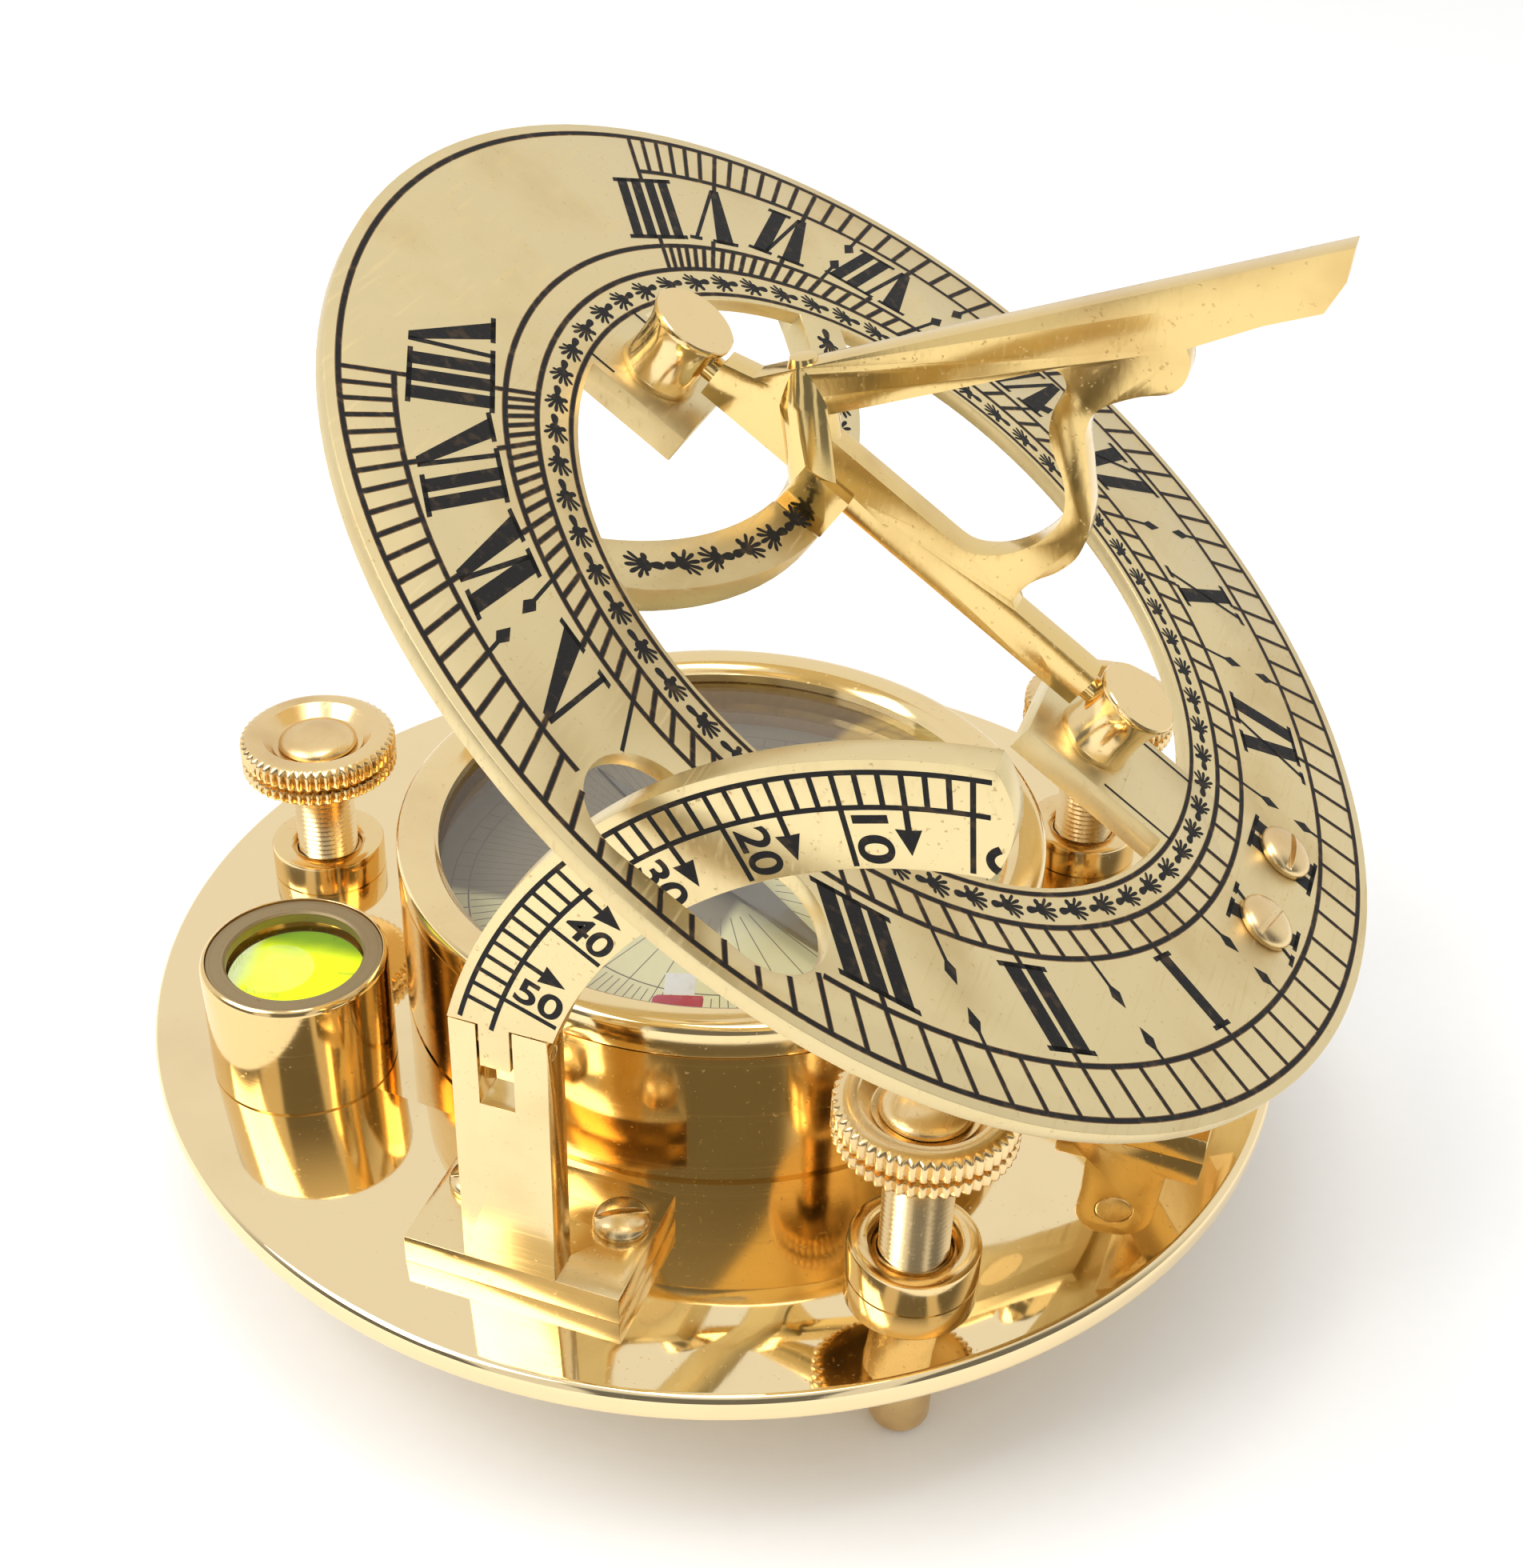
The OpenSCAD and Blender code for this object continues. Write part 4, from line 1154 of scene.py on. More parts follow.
    def letters(self, name: str, side: int, stem: float) -> list[Stroke]:
        """The strokes of an upright numeral.

        Args:
            name: the numeral.
            side: 1 for the morning, -1 for the afternoon and 0 for noon.
            stem: width of its thick strokes.
        Returns:
            For each stroke whether it is thick, then its left side and width at the foot and at the top.
        """
        step, x_step, thin = stem + self.letter_gap, self.x_w + self.letter_gap, self.thin_w
        strokes = []
        if name[0] == "V":
            left, right = AFTERNOON_ARMS if name == "V" and side < 0 else ARMS[name]
            x = -5.0 if name == "VIII" else 0.0
            strokes += [(True, x - 0.5, 1.0, x - left, 2.2), (False, x + 0.1, thin, x + right, thin)]
            x += self.v_w
            name = name[1:]
        else:
            x = -(name.count("X") * x_step + name.count("I") * step - self.letter_gap) / 2
        for letter in name:
            if letter == "X":
                strokes += [(True, x + 4.5 - stem, stem, x + 0.1, stem),
                            (False, x + 0.4, thin, x + 3.8, thin)]
                x += x_step
            else:
                strokes.append((True, x, stem, x, stem))
                x += step
        return strokes

    def merged(self, ends: list[Point]) -> list[Point]:
        """Joins the stretches of a numeral's foot or top whose serifs would touch.

        Args:
            ends: the start and end of each stretch.
        Returns:
            The joined stretches.
        """
        joined_ends: list[Point] = []
        for start, end in sorted(ends):
            if joined_ends and start - joined_ends[-1][1] < 2 * self.serif_over:
                joined_ends[-1] = (joined_ends[-1][0], max(end, joined_ends[-1][1]))
            else:
                joined_ends.append((start, end))
        return joined_ends

    @staticmethod
    def is_apex(strokes: list[Stroke], start: float, end: float) -> bool:
        """Says if a stretch of the foot is the bare apex of a V."""
        return strokes[0][4] > strokes[0][2] and abs(strokes[0][1] - start) < 0.01 and end - start < 1.2

    def serif(self, start: float, end: float, level: float) -> Outline:
        """A serif bar over one stretch of the upright numeral.

        Args:
            start: left end of the stretch.
            end: right end of the stretch.
            level: height of the bar's lower side.
        Returns:
            Its outline.
        """
        over = self.serif_over
        return [(start - over, level), (end + over, level), (end + over, level + self.serif_t),
                (start - over, level + self.serif_t)]

    @staticmethod
    def sprig() -> Outline:
        """The outline of one sprig: two buds, and a fan of fingers towards +x.

        Returns:
            Its outline.
        """
        leaf = []
        for step in range(144):
            angle, reach = 2.5 * step, SPRIG_CORE
            for lobe, length, spread in SPRIG_LOBES:
                off = abs((angle - lobe + 180) % 360 - 180) / spread
                reach = max(reach, 0.5 + (length - 0.5) * max(0.0, 1 - off * off) ** 0.4)
            leaf.append(around(reach, angle))
        return leaf

    def sprigs(self) -> list[Outline]:
        """Outlines of the sprigs in the border.

        Returns:
            The outlines.
        """
        border = range(round(360 / self.sprig_pitch))
        places = [(0.0, self.sprig_r, -176 + self.sprig_pitch * k, 1.0) for k in border]
        for k in (*range(-self.bow_sprigs, 0), *range(1, self.bow_sprigs + 1)):
            size = self.bow_sprig_size if k % 2 else -self.bow_sprig_size
            places.append((self.bow_centre, self.bow_r, k * self.bow_pitch, size))
        leaf, outlines = self.sprig(), []
        for centre, radius, turn, size in places:
            points = [(radius + y * abs(size), x * size) for x, y in leaf]
            outlines.append(laid(points, Vector((centre, 0.0)), aim(turn), left_of(aim(turn))))
        return outlines

    def studs(self, shop: "Shop") -> None:
        """Turns the two spool-shaped studs, which stand on the ring's tabs.

        Args:
            shop: the finishes and the slotted screw.
        """
        profile = [(0, -2.8), (2.9, -2.8), (2.0, -1.9), (2.0, 0.0), (3.65, 0.0), (3.7, 0.15), (3.6, 0.6),
                   (3.42, 1.3), (3.34, 2.2), (3.33, 3.2), (3.4, 4.2), (3.56, 5.0), (3.78, 5.65), (3.88, 5.9),
                   (3.9, 6.1), (3.88, 6.3), (3.76, 6.4), (0, 6.4)]
        for name, place in (("noon_stud", self.noon_stud), ("midnight_stud", self.midnight_stud)):
            stud = turned(f"{name}_turned", profile, self.plane @ at(place, 0, 0), 96)
            keep(stud, shop.stud_brass, "hour_plate", "gnomon_brass", name)

    def screws(self, shop: "Shop") -> None:
        """Puts the two slotted screws through the ring.

        Args:
            shop: the finishes and the slotted screw.
        """
        pair = []
        for side, turn in zip((-1, 1), self.screw_turns):
            place = self.plane @ at(self.screw_at[0], side * self.screw_at[1], 0) \
                @ Matrix.Rotation(math.radians(turn), 4, "Z")
            pair.append(shop.screw(f"ring_screw_{len(pair)}", self.stack, place, *self.screw_head))
        keep(joined("ring_screws_turned", pair), shop.screw_head_brass, "hour_plate",
             "fastener_brass", "ring_screws")


@dataclass
class LatitudeArc:
    """The latitude arc and the bracket that it stands on."""

    centre: Point = (39.2, 39.0)
    face_y: float = -49.2
    circles: tuple[float, float] = (44.96, 42.15)
    inner_edge: float = 37.1
    zero_at: float = 84.95
    per_degree: float = 1.29
    end: float = 86.6
    start: float = 15.2
    line_w: float = 0.42
    digit_h: float = 2.7
    digit_gap: float = 0.5
    digit_run: float = 4.0
    digit_bold: float = 0.1
    parts: int = 6
    scale_parts: int = 33
    curve_steps: int = 100
    half_at: Point = (38.75, 89.3)
    half_size: Point = (1.15, 1.75)
    half_w: float = 0.62
    foot_t: float = 3.0
    screw_x: Point = (-8.0, 6.0)
    screw_y: float = -40.8
    screw_len: float = 6.0

    @staticmethod
    def polar(radius: float, elevation: float) -> Point:
        """A point of the arc's face from its centre, elevation in degrees from midnight."""
        x, y = around(radius, elevation)
        return -x, y

    def build(self, shop: "Shop") -> None:
        """Builds and dresses the arc, its scale, its bracket, pin and screws.

        Args:
            shop: the finishes and the slotted screw.
        """
        keep_copy("latitude_arc", 0.2, shop.arc_brass, "scale_arc", "arc_brass")
        plane = at(self.centre[0], self.face_y, self.centre[1]) @ Matrix.Rotation(math.pi / 2, 4, "X")
        graver = Graver(plane)
        outer, inner = self.circles
        curves, ticks, arrows = [], [], []
        for radius in self.circles:
            points = [self.polar(radius, self.start + (self.end - self.start) * k / self.curve_steps)
                      for k in range(self.curve_steps + 1)]
            curves.append(Graver.stroke(points, self.line_w))
        for part in range(self.scale_parts):
            elevation = self.zero_at - self.per_degree * part * 10 / self.parts
            if elevation < self.start + 1:
                continue
            low = inner if part % self.parts else self.inner_edge + 0.25
            ends = [self.polar(low, elevation), self.polar(outer, elevation)]
            ticks.append(Graver.stroke(ends, self.line_w))
            if part % self.parts == self.parts // 2:
                arrows.append(self.arrow(inner, elevation))
        layers = (("circles", curves, LINE_UP), ("ticks", ticks, MARK_UP), ("arrows", arrows, STEM_UP),
                  ("last_digit", [self.half_digit()], MARK_UP))
        parts = [graver.inlay(f"latitude_{name}", outlines, proud) for name, outlines, proud in layers]
        parts += [self.digits(str(value), plane) for value in range(10, 60, 10)]
        keep(joined("latitude_scale_filling", parts), shop.ink, "scale_arc", "arc_brass")
        keep_copy("arc_bracket", 0.28, shop.bracket_brass, "base", "hinge_brass", 3)
        keep_copy("arc_pin", 0.15, shop.screw_head_brass, "base", "fastener_brass")
        foot_top = base_of("arc_bracket") + self.foot_t
        turn = Matrix.Rotation(math.radians(30.0), 4, "Z")
        pair = [shop.screw(f"bracket_screw_{x:.0f}", self.screw_len, at(x, self.screw_y, foot_top) @ turn)
                for x in self.screw_x]
        keep(joined("bracket_screws_turned", pair), shop.screw_head_brass, "base", "fastener_brass",
             "bracket_screws")

    def arrow(self, root: float, elevation: float) -> Outline:
        """The outline of a five-degree arrow that points inwards from a circle.

        Args:
            root: radius where it starts.
            elevation: its place along the scale, in degrees from midnight.
        Returns:
            Its outline.
        """
        start = Vector(self.polar(root, elevation))
        along = -start.normalized()
        half = [(0.0, 0.23), (1.8, 0.23), (1.75, 0.98), (3.9, 0.0)]
        return laid(mirrored(half), start, along, left_of(along))

    def half_digit(self) -> Outline:
        """The outline of the last nought, which the arc's end cuts off.

        Returns:
            Its outline.
        """
        (middle_r, middle_e), (wide, high) = self.half_at, self.half_size
        per_mm = math.degrees(1 / middle_r)
        points = [self.polar(middle_r - wide * math.sin(a), middle_e - high * per_mm * math.cos(a))
                  for a in (math.radians(-52 + 8 * k) for k in range(14))]
        return Graver.stroke(points, self.half_w)

    def digits(self, text: str, plane: Matrix) -> bpy.types.Object:
        """A number of the latitude scale, beside its line.

        Args:
            text: the number.
            plane: the arc's face as a matrix in metres.
        Returns:
            The object.
        """
        clear_selection()
        bpy.ops.object.text_add(location=(0, 0, 0))
        piece = bpy.context.object
        piece.data.body, piece.data.align_x, piece.data.size = text, "CENTER", 5 * MM
        piece.data.extrude, piece.data.offset = INLAY_HALF * MM, self.digit_bold * MM
        bpy.ops.object.convert(target="MESH")
        piece = bpy.context.object
        corners = [v.co for v in piece.data.vertices]
        low = Vector((min(c.x for c in corners), min(c.y for c in corners), 0))
        high = Vector((max(c.x for c in corners), max(c.y for c in corners), 0))
        fit = Matrix.Diagonal((self.digit_run * MM / (high.x - low.x),
                               self.digit_h * MM / (high.y - low.y), 1, 1))
        piece.data.transform(fit @ Matrix.Translation(-(low + high) / 2))
        middle_r = (self.circles[1] + self.inner_edge) / 2 - 0.1
        turn = math.degrees((self.digit_h / 2 + self.digit_gap) / middle_r)
        elevation = self.zero_at - self.per_degree * float(text) + turn
        x, y = self.polar(middle_r, elevation)
        inward = math.atan2(-y, -x)
        mend_mesh(piece)
        return settle(piece, plane @ at(x, y, STEM_UP - INLAY_HALF) @ Matrix.Rotation(inward, 4, "Z"))


# The knurl's furrow, as places across one rib and how far each is pressed in.
FURROW = ((0.0, 0.95), (1 / 6, 0.972), (5 / 6, 0.972), (2 / 6, 0.993), (4 / 6, 0.993))


@dataclass
class LevellingScrew:
    """One levelling screw: its threaded shank and its knurled head."""

    key: str
    pitch: float = 0.6
    ribs: int = 50
    head_r: float = 8.1
    head_h: float = 4.4
    shank_r: float = 3.2
    tip_r: float = 2.9
    neck_r: float = 2.4
    tip_len: float = 11.0
    groove_in: float = 0.75
    dish: float = 1.4
    play: float = 0.05

    def build(self, shop: "Shop") -> None:
        """Builds and dresses the head and the shank.

        Args:
            shop: the finishes and the slotted screw.
        """
        head = f"foot_head_{self.key}"
        centre, low = middle(head), base_of(head)
        place = at(centre.x, centre.y, low)
        keep(self.head(place), shop.screw_brass, f"{self.key}_head", "screw_brass", head)
        shank = f"foot_shank_{self.key}"
        thread = self.thread(self.tip_len - 0.3, low - 0.1)
        core = turned("core", self.core_profile(low), sides=64)
        piece = settle(joined(f"{self.key}_shank_threaded", [core, thread]), at(centre.x, centre.y, 0))
        keep(piece, shop.thread_brass, f"{self.key}_shank", "screw_brass", shank)

    def head(self, place: Matrix) -> bpy.types.Object:
        """The head: two knurled bands, a dark groove between them and a dished top.

        Args:
            place: where it goes, as a matrix in metres.
        Returns:
            The object.
        """
        r, h = self.head_r, self.head_h
        groove, edge = r - self.groove_in, r - 0.12
        profile = [(2.45, 0.0), (6.9, 0.0), (7.45, 0.12), (edge, 0.42), (r, 0.62), (r, 1.5), (edge, 1.68),
                   (groove, 1.78), (groove, 2.08), (edge, 2.18), (r, 2.36), (r, 3.7), (edge, 3.92),
                   (7.5, 4.2), (7.2, 4.32), (6.9, h)]
        profile += [(5.95, h), (5.75, h - 0.08), (4.75, 3.05), (4.6, 3.0), (2.45, 3.0)]
        piece = turned(f"{self.key}_head_knurled", profile, HERE, self.ribs * 6, ring=True)
        self.knurl(piece, groove)
        return settle(piece, place)

    def knurl(self, piece: bpy.types.Object, groove: float) -> None:
        """Presses the furrows between the ribs into both bands.

        Args:
            piece: the turned head, about the vertical axis.
            groove: radius of the groove between the bands.
        """
        rib = 360.0 / self.ribs

        def pressed(vertex: bpy.types.MeshVertex, share: float) -> bool:
            """Says if a vertex lies on a band, at a furrow's place across a rib."""
            radius = math.hypot(vertex.co.x, vertex.co.y) / MM
            off = abs(math.degrees(math.atan2(vertex.co.y, vertex.co.x)) % rib / rib - share)
            return min(off, 1 - off) < 0.02 and radius > max(groove + 0.2, 7.0)

        for share, depth in FURROW:
            select_points(piece, lambda vertex: pressed(vertex, share))
            bpy.ops.transform.resize(value=(depth, depth, 1), center_override=(0, 0, 0))
            bpy.ops.object.mode_set(mode="OBJECT")
        shade(piece)

    def core_profile(self, low: float) -> Outline:
        """The shank's profile under its thread, up to the dome that is riveted over the head.

        Args:
            low: the head's height over the table.
        Returns:
            The profile.
        """
        floor = low + self.head_h - self.dish + self.play
        dome = [(4.1 * across, floor + 0.15 + 1.35 * up)
                for across, up in (around(1.0, a) for a in range(0, 90, 9))]
        foot = [(0, 0), (1.2, 0.0)] + arc_steps((self.tip_r - 1.5, 1.5), 1.5, -82, 0, 7)
        return foot + [(self.tip_r, self.tip_len - 0.4), (self.shank_r - 0.42, self.tip_len - 0.1),
                       (self.shank_r - 0.42, low - 0.35), (self.neck_r, low - 0.05), (self.neck_r, floor),
                       (4.0, floor)] + dome + [(0, floor + 1.5)]

    def thread(self, low: float, high: float) -> bpy.types.Object:
        """The thread as one helix of a V profile.

        Args:
            low: where it starts, in millimetres above the table.
            high: where it ends.
        Returns:
            The object, about the vertical axis.
        """
        clear_selection()
        bpy.ops.mesh.primitive_circle_add(vertices=4, radius=self.pitch / 2 * MM, fill_type="NOTHING",
                                          rotation=(math.pi / 2, 0, 0), enter_editmode=True)
        piece = bpy.context.object
        bpy.ops.object.mode_set(mode="OBJECT")
        settle(piece, HERE)
        inner = min(piece.data.vertices, key=lambda v: v.co.x).index
        select_points(piece, lambda vertex: vertex.index == inner)
        bpy.ops.mesh.delete(type="VERT")
        bpy.ops.object.mode_set(mode="OBJECT")
        settle(piece, at(self.shank_r - self.pitch / 2, 0, low + self.pitch / 2))
        screw = piece.modifiers.new("thread", "SCREW")
        screw.axis, screw.angle, screw.screw_offset = "Z", math.tau, self.pitch * MM
        screw.iterations = int((high - low) / self.pitch)
        screw.steps = screw.render_steps = 40
        screw.use_merge_vertices = True
        choose(piece)
        bpy.ops.object.modifier_apply(modifier=screw.name)
        mend_mesh(piece)
        bpy.ops.object.mode_set(mode="EDIT")
        bpy.ops.mesh.select_mode(type="EDGE")
        bpy.ops.mesh.select_all(action="DESELECT")
        bpy.ops.mesh.select_non_manifold()
        bpy.ops.mesh.edge_face_add()
        bpy.ops.object.mode_set(mode="OBJECT")
        shade(piece)
        return piece


@dataclass
class BasePlate:
    """The mirror-bright base plate, its bushes and the hinge block."""

    bush_r: float = 6.0
    bush_h: float = 3.6
    spigot_r: float = 4.6
    bore_r: float = 3.28
    mouth_r: float = 4.2
    plate_round: float = 0.9
    cheek_t: float = 4.2
    sink_r: float = 2.8

    def build(self, shop: "Shop") -> None:
        """Dresses the plate and builds the bushes, the hinge block and its pin.

        Args:
            shop: the finishes and the slotted screw.
        """
        keep(self.plate(), shop.plate_brass, "base", "base_brass", "base_plate")
        low, r = base_of("base_plate"), self.bush_r
        foot = top_of("base_plate") - low
        rise = foot + self.bush_h
        profile = [(self.spigot_r, 0.05), (self.spigot_r, foot), (r - 0.1, foot), (r, foot + 0.12),
                   (r, rise - 0.4), (r - 0.12, rise - 0.14), (r - 0.42, rise),
                   (self.mouth_r + 0.1, rise), (self.mouth_r - 0.06, rise - 0.08),
                   (self.bore_r, rise - 0.95), (self.bore_r, 0.05)]
        master, bushes = turned("bush", profile, ring=True), []
        for key in FEET:
            centre = middle(f"foot_head_{key}")
            bushes.append(settle(copy_of(master, f"bush_{key}"), at(centre.x, centre.y, low)))
        bpy.data.objects.remove(master)
        keep(joined("foot_bushes_turned", bushes), shop.bush_brass, "base", "screw_brass", "foot_bushes")
        keep_copy("hinge_block", 0.35, shop.hinge_brass, "base", "hinge_brass", 3)
        keep_copy("hinge_pin", 0.3, shop.screw_head_brass, "base", "fastener_brass", 3)
        for node in ("compass_screws", "hinge_block_screws", "level_screw"):
            dress_node(node, shop.screw_head_brass)

    def plate(self) -> bpy.types.Object:
        """Turns the round plate and drills it for the bushes and the screws.

        Returns:
            The object.
        """
        low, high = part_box("base_plate")
        r, low_z, top_z = high.x / MM, low.z / MM, high.z / MM
        edge = self.plate_round
        profile = [(0, low_z)] + arc_steps((r - edge, low_z + edge), edge, -90, 0, 9) \
            + arc_steps((r - edge, top_z - edge), edge, 0, 90, 9) + [(0, top_z)]
        plate = turned("base_plate_turned", profile, sides=512)
        for key in FEET:
            spot = middle(f"foot_head_{key}")
            drill(plate, at(spot.x, spot.y, 0), self.spigot_r, low_z - 1, top_z + 1, 96)
        block, cup = middle("hinge_block"), middle("level_cup")
        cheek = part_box("hinge_block")[1].y / MM - self.cheek_t / 2
        sink = [(0, low_z - 0.2), (self.sink_r, low_z - 0.2), (SCREW_R, low_z + 1.3), (SCREW_R, top_z + 1),
                (0, top_z + 1)]
        for x, y in (*case_screw_spots(), (block.x, cheek), (block.x, -cheek), (cup.x, cup.y)):
            cut_away(plate, turned("sink", sink, at(x, y, 0), 48))
        shade(plate)
        return plate


@dataclass
class BullsEyeLevel:
    """The bull's-eye level: cup, retaining ring, glass, spirit and bubble."""

    outer_r: float = 8.9
    window_r: float = 6.5
    seat_r: float = 7.7
    lip_r: float = 8.4
    height: float = 12.7
    ring_drop: float = 0.2
    bore_r: float = 1.35
    glass_t: float = 1.2
    glass_drop: float = 1.4

    def build(self, shop: "Shop") -> None:
        """Builds and dresses the level's pieces.

        Args:
            shop: the finishes and the slotted screw.
        """
        centre, low = middle("level_cup"), base_of("level_cup")
        place = at(centre.x, centre.y, low)
        r, h, seat = self.outer_r, self.height, self.seat_r
        glass_top = h - self.glass_drop
        glass_low, lip, window = glass_top - self.glass_t, self.lip_r, self.window_r
        cup = [(self.bore_r, 0.0), (r - 0.2, 0.0), (r, 0.18), (r, h - 0.7), (r - 0.08, h - 0.35),
               (r - 0.25, h - 0.12), (r - 0.5, h), (lip + 0.06, h), (lip, h - 0.06), (lip, glass_top),
               (seat, glass_top), (seat, glass_low), (window, glass_low), (window, 2.0), (self.bore_r, 2.0)]
        keep(turned("level_cup_turned", cup, place, ring=True), shop.level_brass, "base", "level_brass",
             "level_cup")
        top, inside = h - self.ring_drop, lip - 0.03
        ring = [(inside, glass_top + 0.02), (inside, top - 0.1), (lip - 0.12, top), (window + 0.2, top),
                (window, top - 0.2), (window, glass_top + 0.02)]
        keep(turned("level_ring_turned", ring, place, ring=True), shop.level_ring_brass, "base",
             "level_brass", "level_ring")
        glass = [(0, glass_low), (seat, glass_low), (seat, glass_top - 0.1), (seat - 0.1, glass_top),
                 (0, glass_top)]
        keep(turned("level_glass_ground", glass, place, 96), shop.level_glass, "base", "level_glass",
             "level_glass")
        dress_node("level_fluid", shop.liquid)
        dress_node("level_bubble", shop.bubble)


@dataclass
class Compass:
    """The compass: case, bezel, glass, card with its rose, pin and needle."""

    case_r: float = 32.3
    window_r: float = 28.2
    glass_r: float = 30.9
    glass_t: float = 1.4
    bezel_h: float = 3.4
    card_r: float = 28.0
    floor_t: float = 2.0
    shoulder_w: float = 2.6
    foot_edge: float = 0.35
    pin_r: float = 0.7
    ring_w: float = 0.16
    ray_w: float = 0.1
    mark_w: float = 0.14

    def build(self, shop: "Shop") -> None:
        """Builds and dresses the compass' pieces.

        Args:
            shop: the finishes and the slotted screw.
        """
        keep(self.case(), shop.case_brass, "base", "case_brass", "compass_case")
        low, h, r, window = base_of("compass_bezel"), self.bezel_h, self.case_r, self.window_r
        bezel = [(self.glass_r, 0.0), (r - 0.22, 0.0), (r - 0.02, 0.14), (r, 0.3), (r, h - 1.0),
                 (r - 0.1, h - 0.55), (r - 0.38, h - 0.2), (r - 0.85, h - 0.03), (r - 1.3, h),
                 (window + 1.35, h), (window + 0.95, h - 0.1), (window + 0.3, h - 0.85),
                 (window, h - 1.1), (window, self.glass_t), (self.glass_r, self.glass_t)]
        keep(turned("compass_bezel_turned", bezel, at(0, 0, low), 256, ring=True), shop.bezel_brass,
             "base", "case_brass", "compass_bezel")
        dress_node("compass_glass", shop.compass_glass)
        dress_node("compass_card", shop.card)
        self.rose(shop)
        dress_node("pivot_pin", shop.steel)
        keep_copy("compass_needle", 0.12, shop.needle_steel, "needle", "needle_steel")
        keep_copy("needle_cap", 0.08, shop.screw_head_brass, "needle", "fastener_brass")

    def case(self) -> bpy.types.Object:
        """Turns the case with a broken edge at its foot and drills it for its screws and its pin.

        Returns:
            The object.
        """
        low, r, wall = base_of("compass_case"), self.case_r, self.glass_r - 1.0
        high, shoulder = base_of("compass_bezel") - low, base_of("compass_card") - low
        seat, foot = wall - self.shoulder_w, self.foot_edge
        profile = [(0, 0.0), (r - foot, 0.0), (r, foot), (r, high), (wall, high), (wall, shoulder),
                   (seat, shoulder), (seat, self.floor_t), (0, self.floor_t)]
        piece = turned("compass_case_turned", profile, at(0, 0, low), 256)
        bores = [(0.0, 0.0, self.pin_r), *((x, y, SCREW_R) for x, y in case_screw_spots())]
        for x, y, bore in bores:
            drill(piece, at(x, y, low), bore, -1, 3, 32)
        shade(piece)
        return piece

    @staticmethod
    def spoke(turn: float, start: float, end: float, width: float) -> Outline:
        """The outline of a line away from the card's centre."""
        return Graver.stroke([tuple(aim(turn) * start), tuple(aim(turn) * end)], width)

    def rose(self, shop: "Shop") -> None:
        """Prints the card: rings, fine rays, degree marks, a crimson bar and a white shaft.

        Args:
            shop: the finishes and the slotted screw.
        """
        graver = Graver(at(0, 0, top_of("compass_card")), 0.01)
        card = self.card_r
        rings = [Graver.stroke(circle_points(radius, -180, 180, 2.0), self.ring_w)
                 for radius in (card - 0.6, card - 2.4, card * 0.62)]
        rays = [self.spoke(2.5 * step, card * (0.64 if step % 4 else 0.2), card - 2.6, self.ray_w)
                for step in range(144)]
        marks = [self.spoke(5 * step, card - 2.3, card - 0.7, self.mark_w) for step in range(72)]
        parts = [graver.inlay("card_rings", rings, RING_UP), graver.inlay("card_rays", rays, RING_UP - 0.002),
                 graver.inlay("card_degrees", marks, RING_UP - 0.002)]
        keep(joined("card_rose", parts), shop.card_ink, "base", "card")
        bar = [(0.1, -18.9), (0.3, -19.8), (1.0, -20.5), (5.2, -19.1), (4.5, -17.0), (0.4, -18.4)]
        shaft = [(0.9, -18.1), (-0.1, -15.1), (2.7, -14.2), (3.7, -17.2)]
        for name, outline, proud, finish in (("card_noon_mark", bar, 0.02, shop.crimson),
                                             ("card_noon_shaft", shaft, 0.015, shop.card_white)):
            keep(graver.inlay(name, [outline], proud), finish, "base", "card")


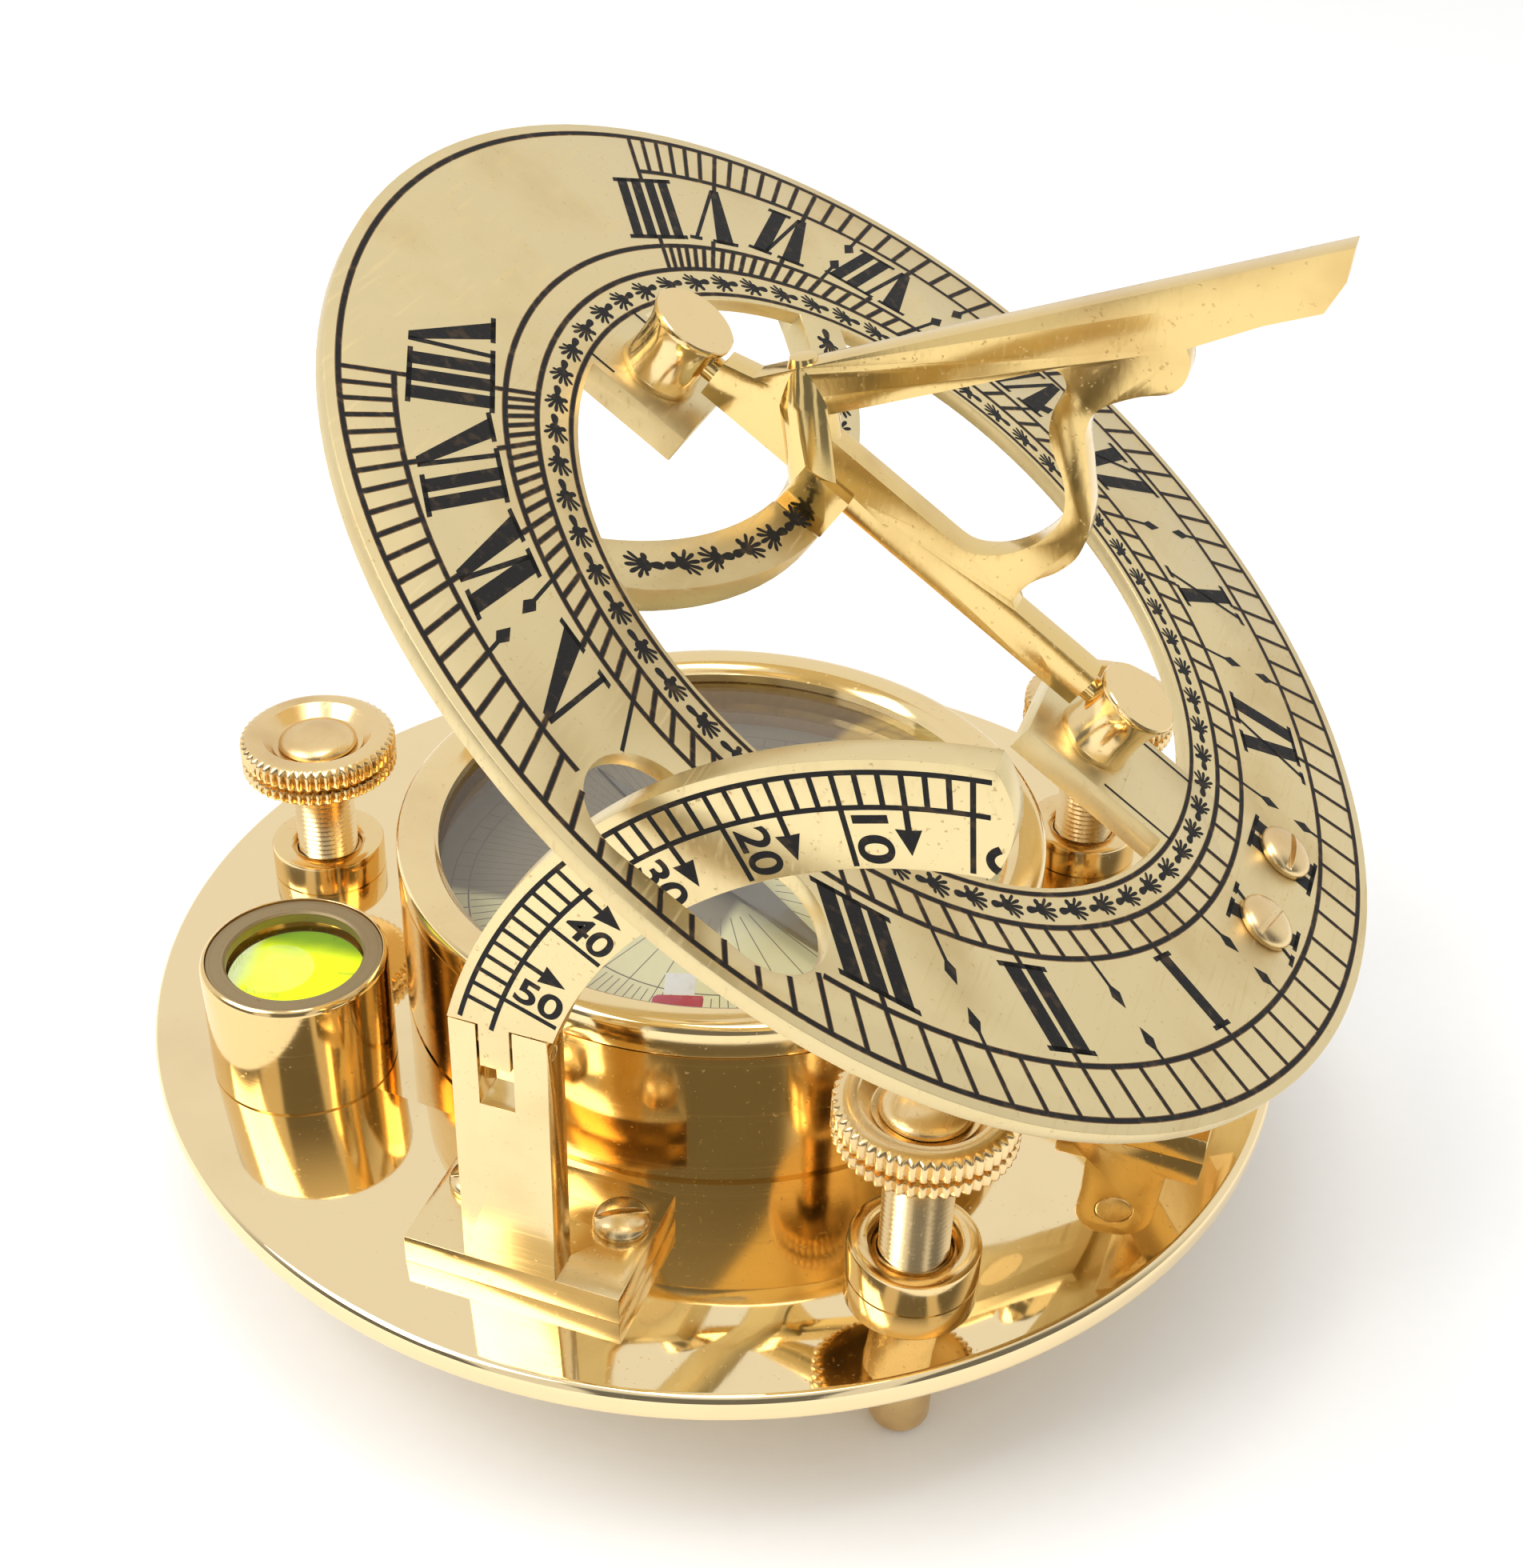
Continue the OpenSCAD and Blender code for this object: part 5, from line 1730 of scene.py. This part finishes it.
class Shop:
    """All finishes, and the slotted screw that several sub-assemblies share."""

    def __init__(self) -> None:
        """Mixes every finish once."""
        level, head = middle("level_cup"), (0.86, 0.64, 0.33)
        self.plate_brass = Brass("mirror_brass_plate", (0.90, 0.72, 0.42), roughness=0.035, stained=0.12,
                                 pits=0.05, relief=0.03).material()
        self.case_brass = Brass("polished_brass_case", (0.84, 0.60, 0.26), roughness=0.10, stained=0.25,
                                lay=Lay.TURNED, pits=0.03).material()
        self.bezel_brass = Brass("polished_brass_bezel", (0.88, 0.68, 0.36), roughness=0.09, stained=0.2,
                                 lay=Lay.TURNED).material()
        self.bush_brass = Brass("turned_brass_bush", (0.86, 0.64, 0.32), roughness=0.12).material()
        self.screw_brass = Brass("knurled_brass_head", head, roughness=0.15, stained=0.45).material()
        self.thread_brass = Brass("threaded_brass_shank", head, roughness=0.2, stained=0.6).material()
        self.level_brass = Brass("polished_brass_level", (0.84, 0.60, 0.27), roughness=0.10, lay=Lay.TURNED,
                                 centre=(level.x, level.y)).material()
        self.level_ring_brass = Brass("brown_brass_ring", (0.36, 0.27, 0.15), roughness=0.5, lay=Lay.TURNED,
                                      centre=(level.x, level.y), stained=0.5, pits=0.3).material()
        self.hinge_brass = Brass("cast_brass_hinge", (0.85, 0.62, 0.29), roughness=0.14, stained=0.4,
                                 relief=0.2).material()
        self.bracket_brass = Brass("filed_brass_bracket", (0.86, 0.67, 0.36), roughness=0.13, stained=0.3,
                                   lay=Lay.DRAWN, relief=0.2).material()
        self.ring_brass = Brass("engraved_brass_ring", (0.76, 0.62, 0.34), stain=(0.52, 0.35, 0.14),
                                roughness=0.33, stained=0.4, pits=0.25, relief=0.25).material()
        self.arc_brass = Brass("engraved_brass_arc", (0.80, 0.65, 0.35), stain=(0.45, 0.28, 0.10),
                               roughness=0.26, stained=0.55, pits=0.5, relief=0.3).material()
        self.gnomon_brass = Brass("cast_brass_gnomon", (0.82, 0.60, 0.25), roughness=0.11, stained=0.6,
                                  relief=0.3).material()
        self.stud_brass = Brass("turned_brass_stud", (0.86, 0.65, 0.33), roughness=0.12,
                                stained=0.3).material()
        self.screw_head_brass = Brass("slotted_brass_screw", (0.84, 0.64, 0.34), roughness=0.2, stained=0.5,
                                      relief=0.3).material()
        self.ink = Ink("black_filling").material()
        self.stain = Ink("brown_edge_stain", (0.16, 0.085, 0.03), (0.34, 0.22, 0.09), 0.9).material()
        self.card_ink = Ink("card_print", (0.16, 0.12, 0.09), (0.30, 0.24, 0.18)).material()
        self.card_white = Ink("white_print", (0.72, 0.68, 0.70), (0.6, 0.55, 0.52)).material()
        self.crimson = Ink("crimson_print", (0.42, 0.02, 0.06), (0.5, 0.1, 0.12)).material()
        self.compass_glass = ClearGlass("compass_crystal").material()
        self.level_glass = ClearGlass("level_crystal", (0.97, 0.99, 0.92), 0.01, 0.02).material()
        self.liquid = LevelLiquid("level_spirit", centre=(level.x, level.y)).material()
        self.bubble = AirBubble("level_air").material()
        self.card = CardStock("cream_card").material()
        self.steel = Steel("needle_steel_polish").material()
        self.needle_steel = Steel("browned_needle_steel", (0.20, 0.165, 0.135)).material()

    @staticmethod
    def screw(name: str, length: float, place: Matrix, head_r: float = 2.6,
              head_h: float = 1.5) -> bpy.types.Object:
        """A round-headed slotted screw.

        Args:
            name: its name.
            length: length of the shank under the head, in millimetres.
            place: where the head's seat is, as a matrix in metres.
            head_r: radius of its head.
            head_h: height of its head.
        Returns:
            The object.
        """
        rim = 0.42
        dome = [(head_r * across, rim + (head_h - rim) * up)
                for across, up in (around(1.0, a) for a in range(0, 86, 12))]
        profile = [(0, -length), (SCREW_R, -length), (SCREW_R, 0.0), (head_r - 0.12, 0.0), (head_r, 0.1),
                   *dome, (0, head_h)]
        piece = turned(name, profile, sides=64)
        clear_selection()
        bpy.ops.mesh.primitive_cube_add(size=1, location=(0, 0, head_h * MM))
        cutter = bpy.context.object
        cutter.scale = (8 * MM, 0.62 * MM, 1.5 * MM)
        settle(cutter, HERE)
        cut_away(piece, cutter)
        soften(piece, 0.06, 1, 40.0)
        return settle(piece, place)


@dataclass
class Studio:
    """The floor, the light and the camera."""

    azimuth: float = 18.5523
    elevation: float = 34.8902
    roll: float = -1.8965
    eye: Spot = (59.84, -166.46, 165.88)
    lens: float = 51.62
    sensor: float = 36.0
    floor_size: float = 3000.0

    def build(self) -> None:
        """Sets up the floor, the lamps, the world and the camera."""
        self.floor()
        self.lamps()
        self.world()
        self.camera()
        bpy.context.scene.view_settings.view_transform = "Standard"

    def axes(self) -> tuple[Vector, Vector, Vector]:
        """The camera's right, up and back directions.

        Returns:
            The three directions.
        """
        a, e, r = (math.radians(v) for v in (self.azimuth, self.elevation, self.roll))
        back = Vector((math.sin(a) * math.cos(e), -math.cos(a) * math.cos(e), math.sin(e)))
        right = Vector((math.cos(a), math.sin(a), 0.0))
        down = (-back).cross(right)
        rolled_right = right * math.cos(r) + down * math.sin(r)
        rolled_down = down * math.cos(r) - right * math.sin(r)
        return rolled_right, -rolled_down, back

    def camera(self) -> None:
        """Adds the camera where the photographer stood."""
        data = bpy.data.cameras.new("view")
        data.lens, data.sensor_width, data.sensor_fit = self.lens, self.sensor, "HORIZONTAL"
        data.clip_start, data.clip_end = 0.01, 20.0
        camera = stage_object("view", data)
        turn = Matrix(self.axes()).transposed().to_4x4()
        camera.matrix_world = at(*self.eye) @ turn
        bpy.context.scene.camera = camera

    def floor(self) -> None:
        """Lays the pale floor."""
        clear_selection()
        bpy.ops.mesh.primitive_plane_add(size=self.floor_size * MM, location=(0, 0, -0.02 * MM))
        floor = bpy.context.object
        floor.name = "floor"
        bpy.ops.object.transform_apply(location=True, rotation=True, scale=True)
        floor.data.materials.append(FloorPaint("pale_floor").material())

    @staticmethod
    def lamps() -> None:
        """Hangs two large soft lamps."""
        for name, spot, size, power in (("key", (-380, -330, 600), 450, 3.0),
                                        ("top", (60, -60, 760), 300, 1.2)):
            data = bpy.data.lights.new(name, "AREA")
            data.size, data.energy = size * MM, power
            lamp = stage_object(name, data)
            turn = (Vector((0, 0, 50)) - Vector(spot)).to_track_quat("-Z", "Y")
            lamp.matrix_world = at(*spot) @ turn.to_matrix().to_4x4()

    def world(self) -> None:
        """A white room, darker behind the photographer."""
        world = bpy.data.worlds.new("white_room")
        world.use_nodes = True
        bpy.context.scene.world = world
        paint = Paint(world.node_tree)
        back = self.axes()[2]
        level_back = Vector((back.x, back.y, 0.0)).normalized()
        way = paint.add("SeparateXYZ", {0: paint.add("TexCoord").outputs["Generated"]})
        x, y, z = (Val(paint.tree, socket) for socket in way.outputs)
        behind = x * level_back.x + y * level_back.y
        aside = x * -level_back.y + y * level_back.x
        dark = behind.smooth(-0.20, 0.40) * (1.0 - z.smooth(0.70, 0.92))
        strip = (aside.smooth(0.30, 0.36) * (1.0 - aside.smooth(0.50, 0.56))
                 + aside.smooth(-0.62, -0.56) * (1.0 - aside.smooth(-0.34, -0.28)))
        room = 1.0 - dark * (1.0 - strip * 0.9) * 0.80
        path = paint.add("LightPath")
        camera, glossy, through = (Val(paint.tree, path.outputs[name]) for name in
                                   ("Is Camera Ray", "Is Glossy Ray", "Is Transmission Ray"))
        special = camera + glossy + through
        diffuse = 1.0 - special.math("MINIMUM", special, 1.0)
        strength = camera + through + glossy * room * 0.92 + diffuse * 0.86
        backdrop = paint.add("Background", {"Color": (1.0, 1.0, 1.0), "Strength": strength})
        paint.add("OutputWorld", {"Surface": backdrop.outputs[0]})


def main() -> None:
    """Builds the sundial compass piece by piece."""
    logging.basicConfig(level=logging.INFO, format="%(message)s")
    Studio().build()
    shop = Shop()
    BasePlate().build(shop)
    for key in FEET:
        LevellingScrew(key).build(shop)
    BullsEyeLevel().build(shop)
    Compass().build(shop)
    LatitudeArc().build(shop)
    HourRing().build(shop)


if __name__ == "__main__":
    main()
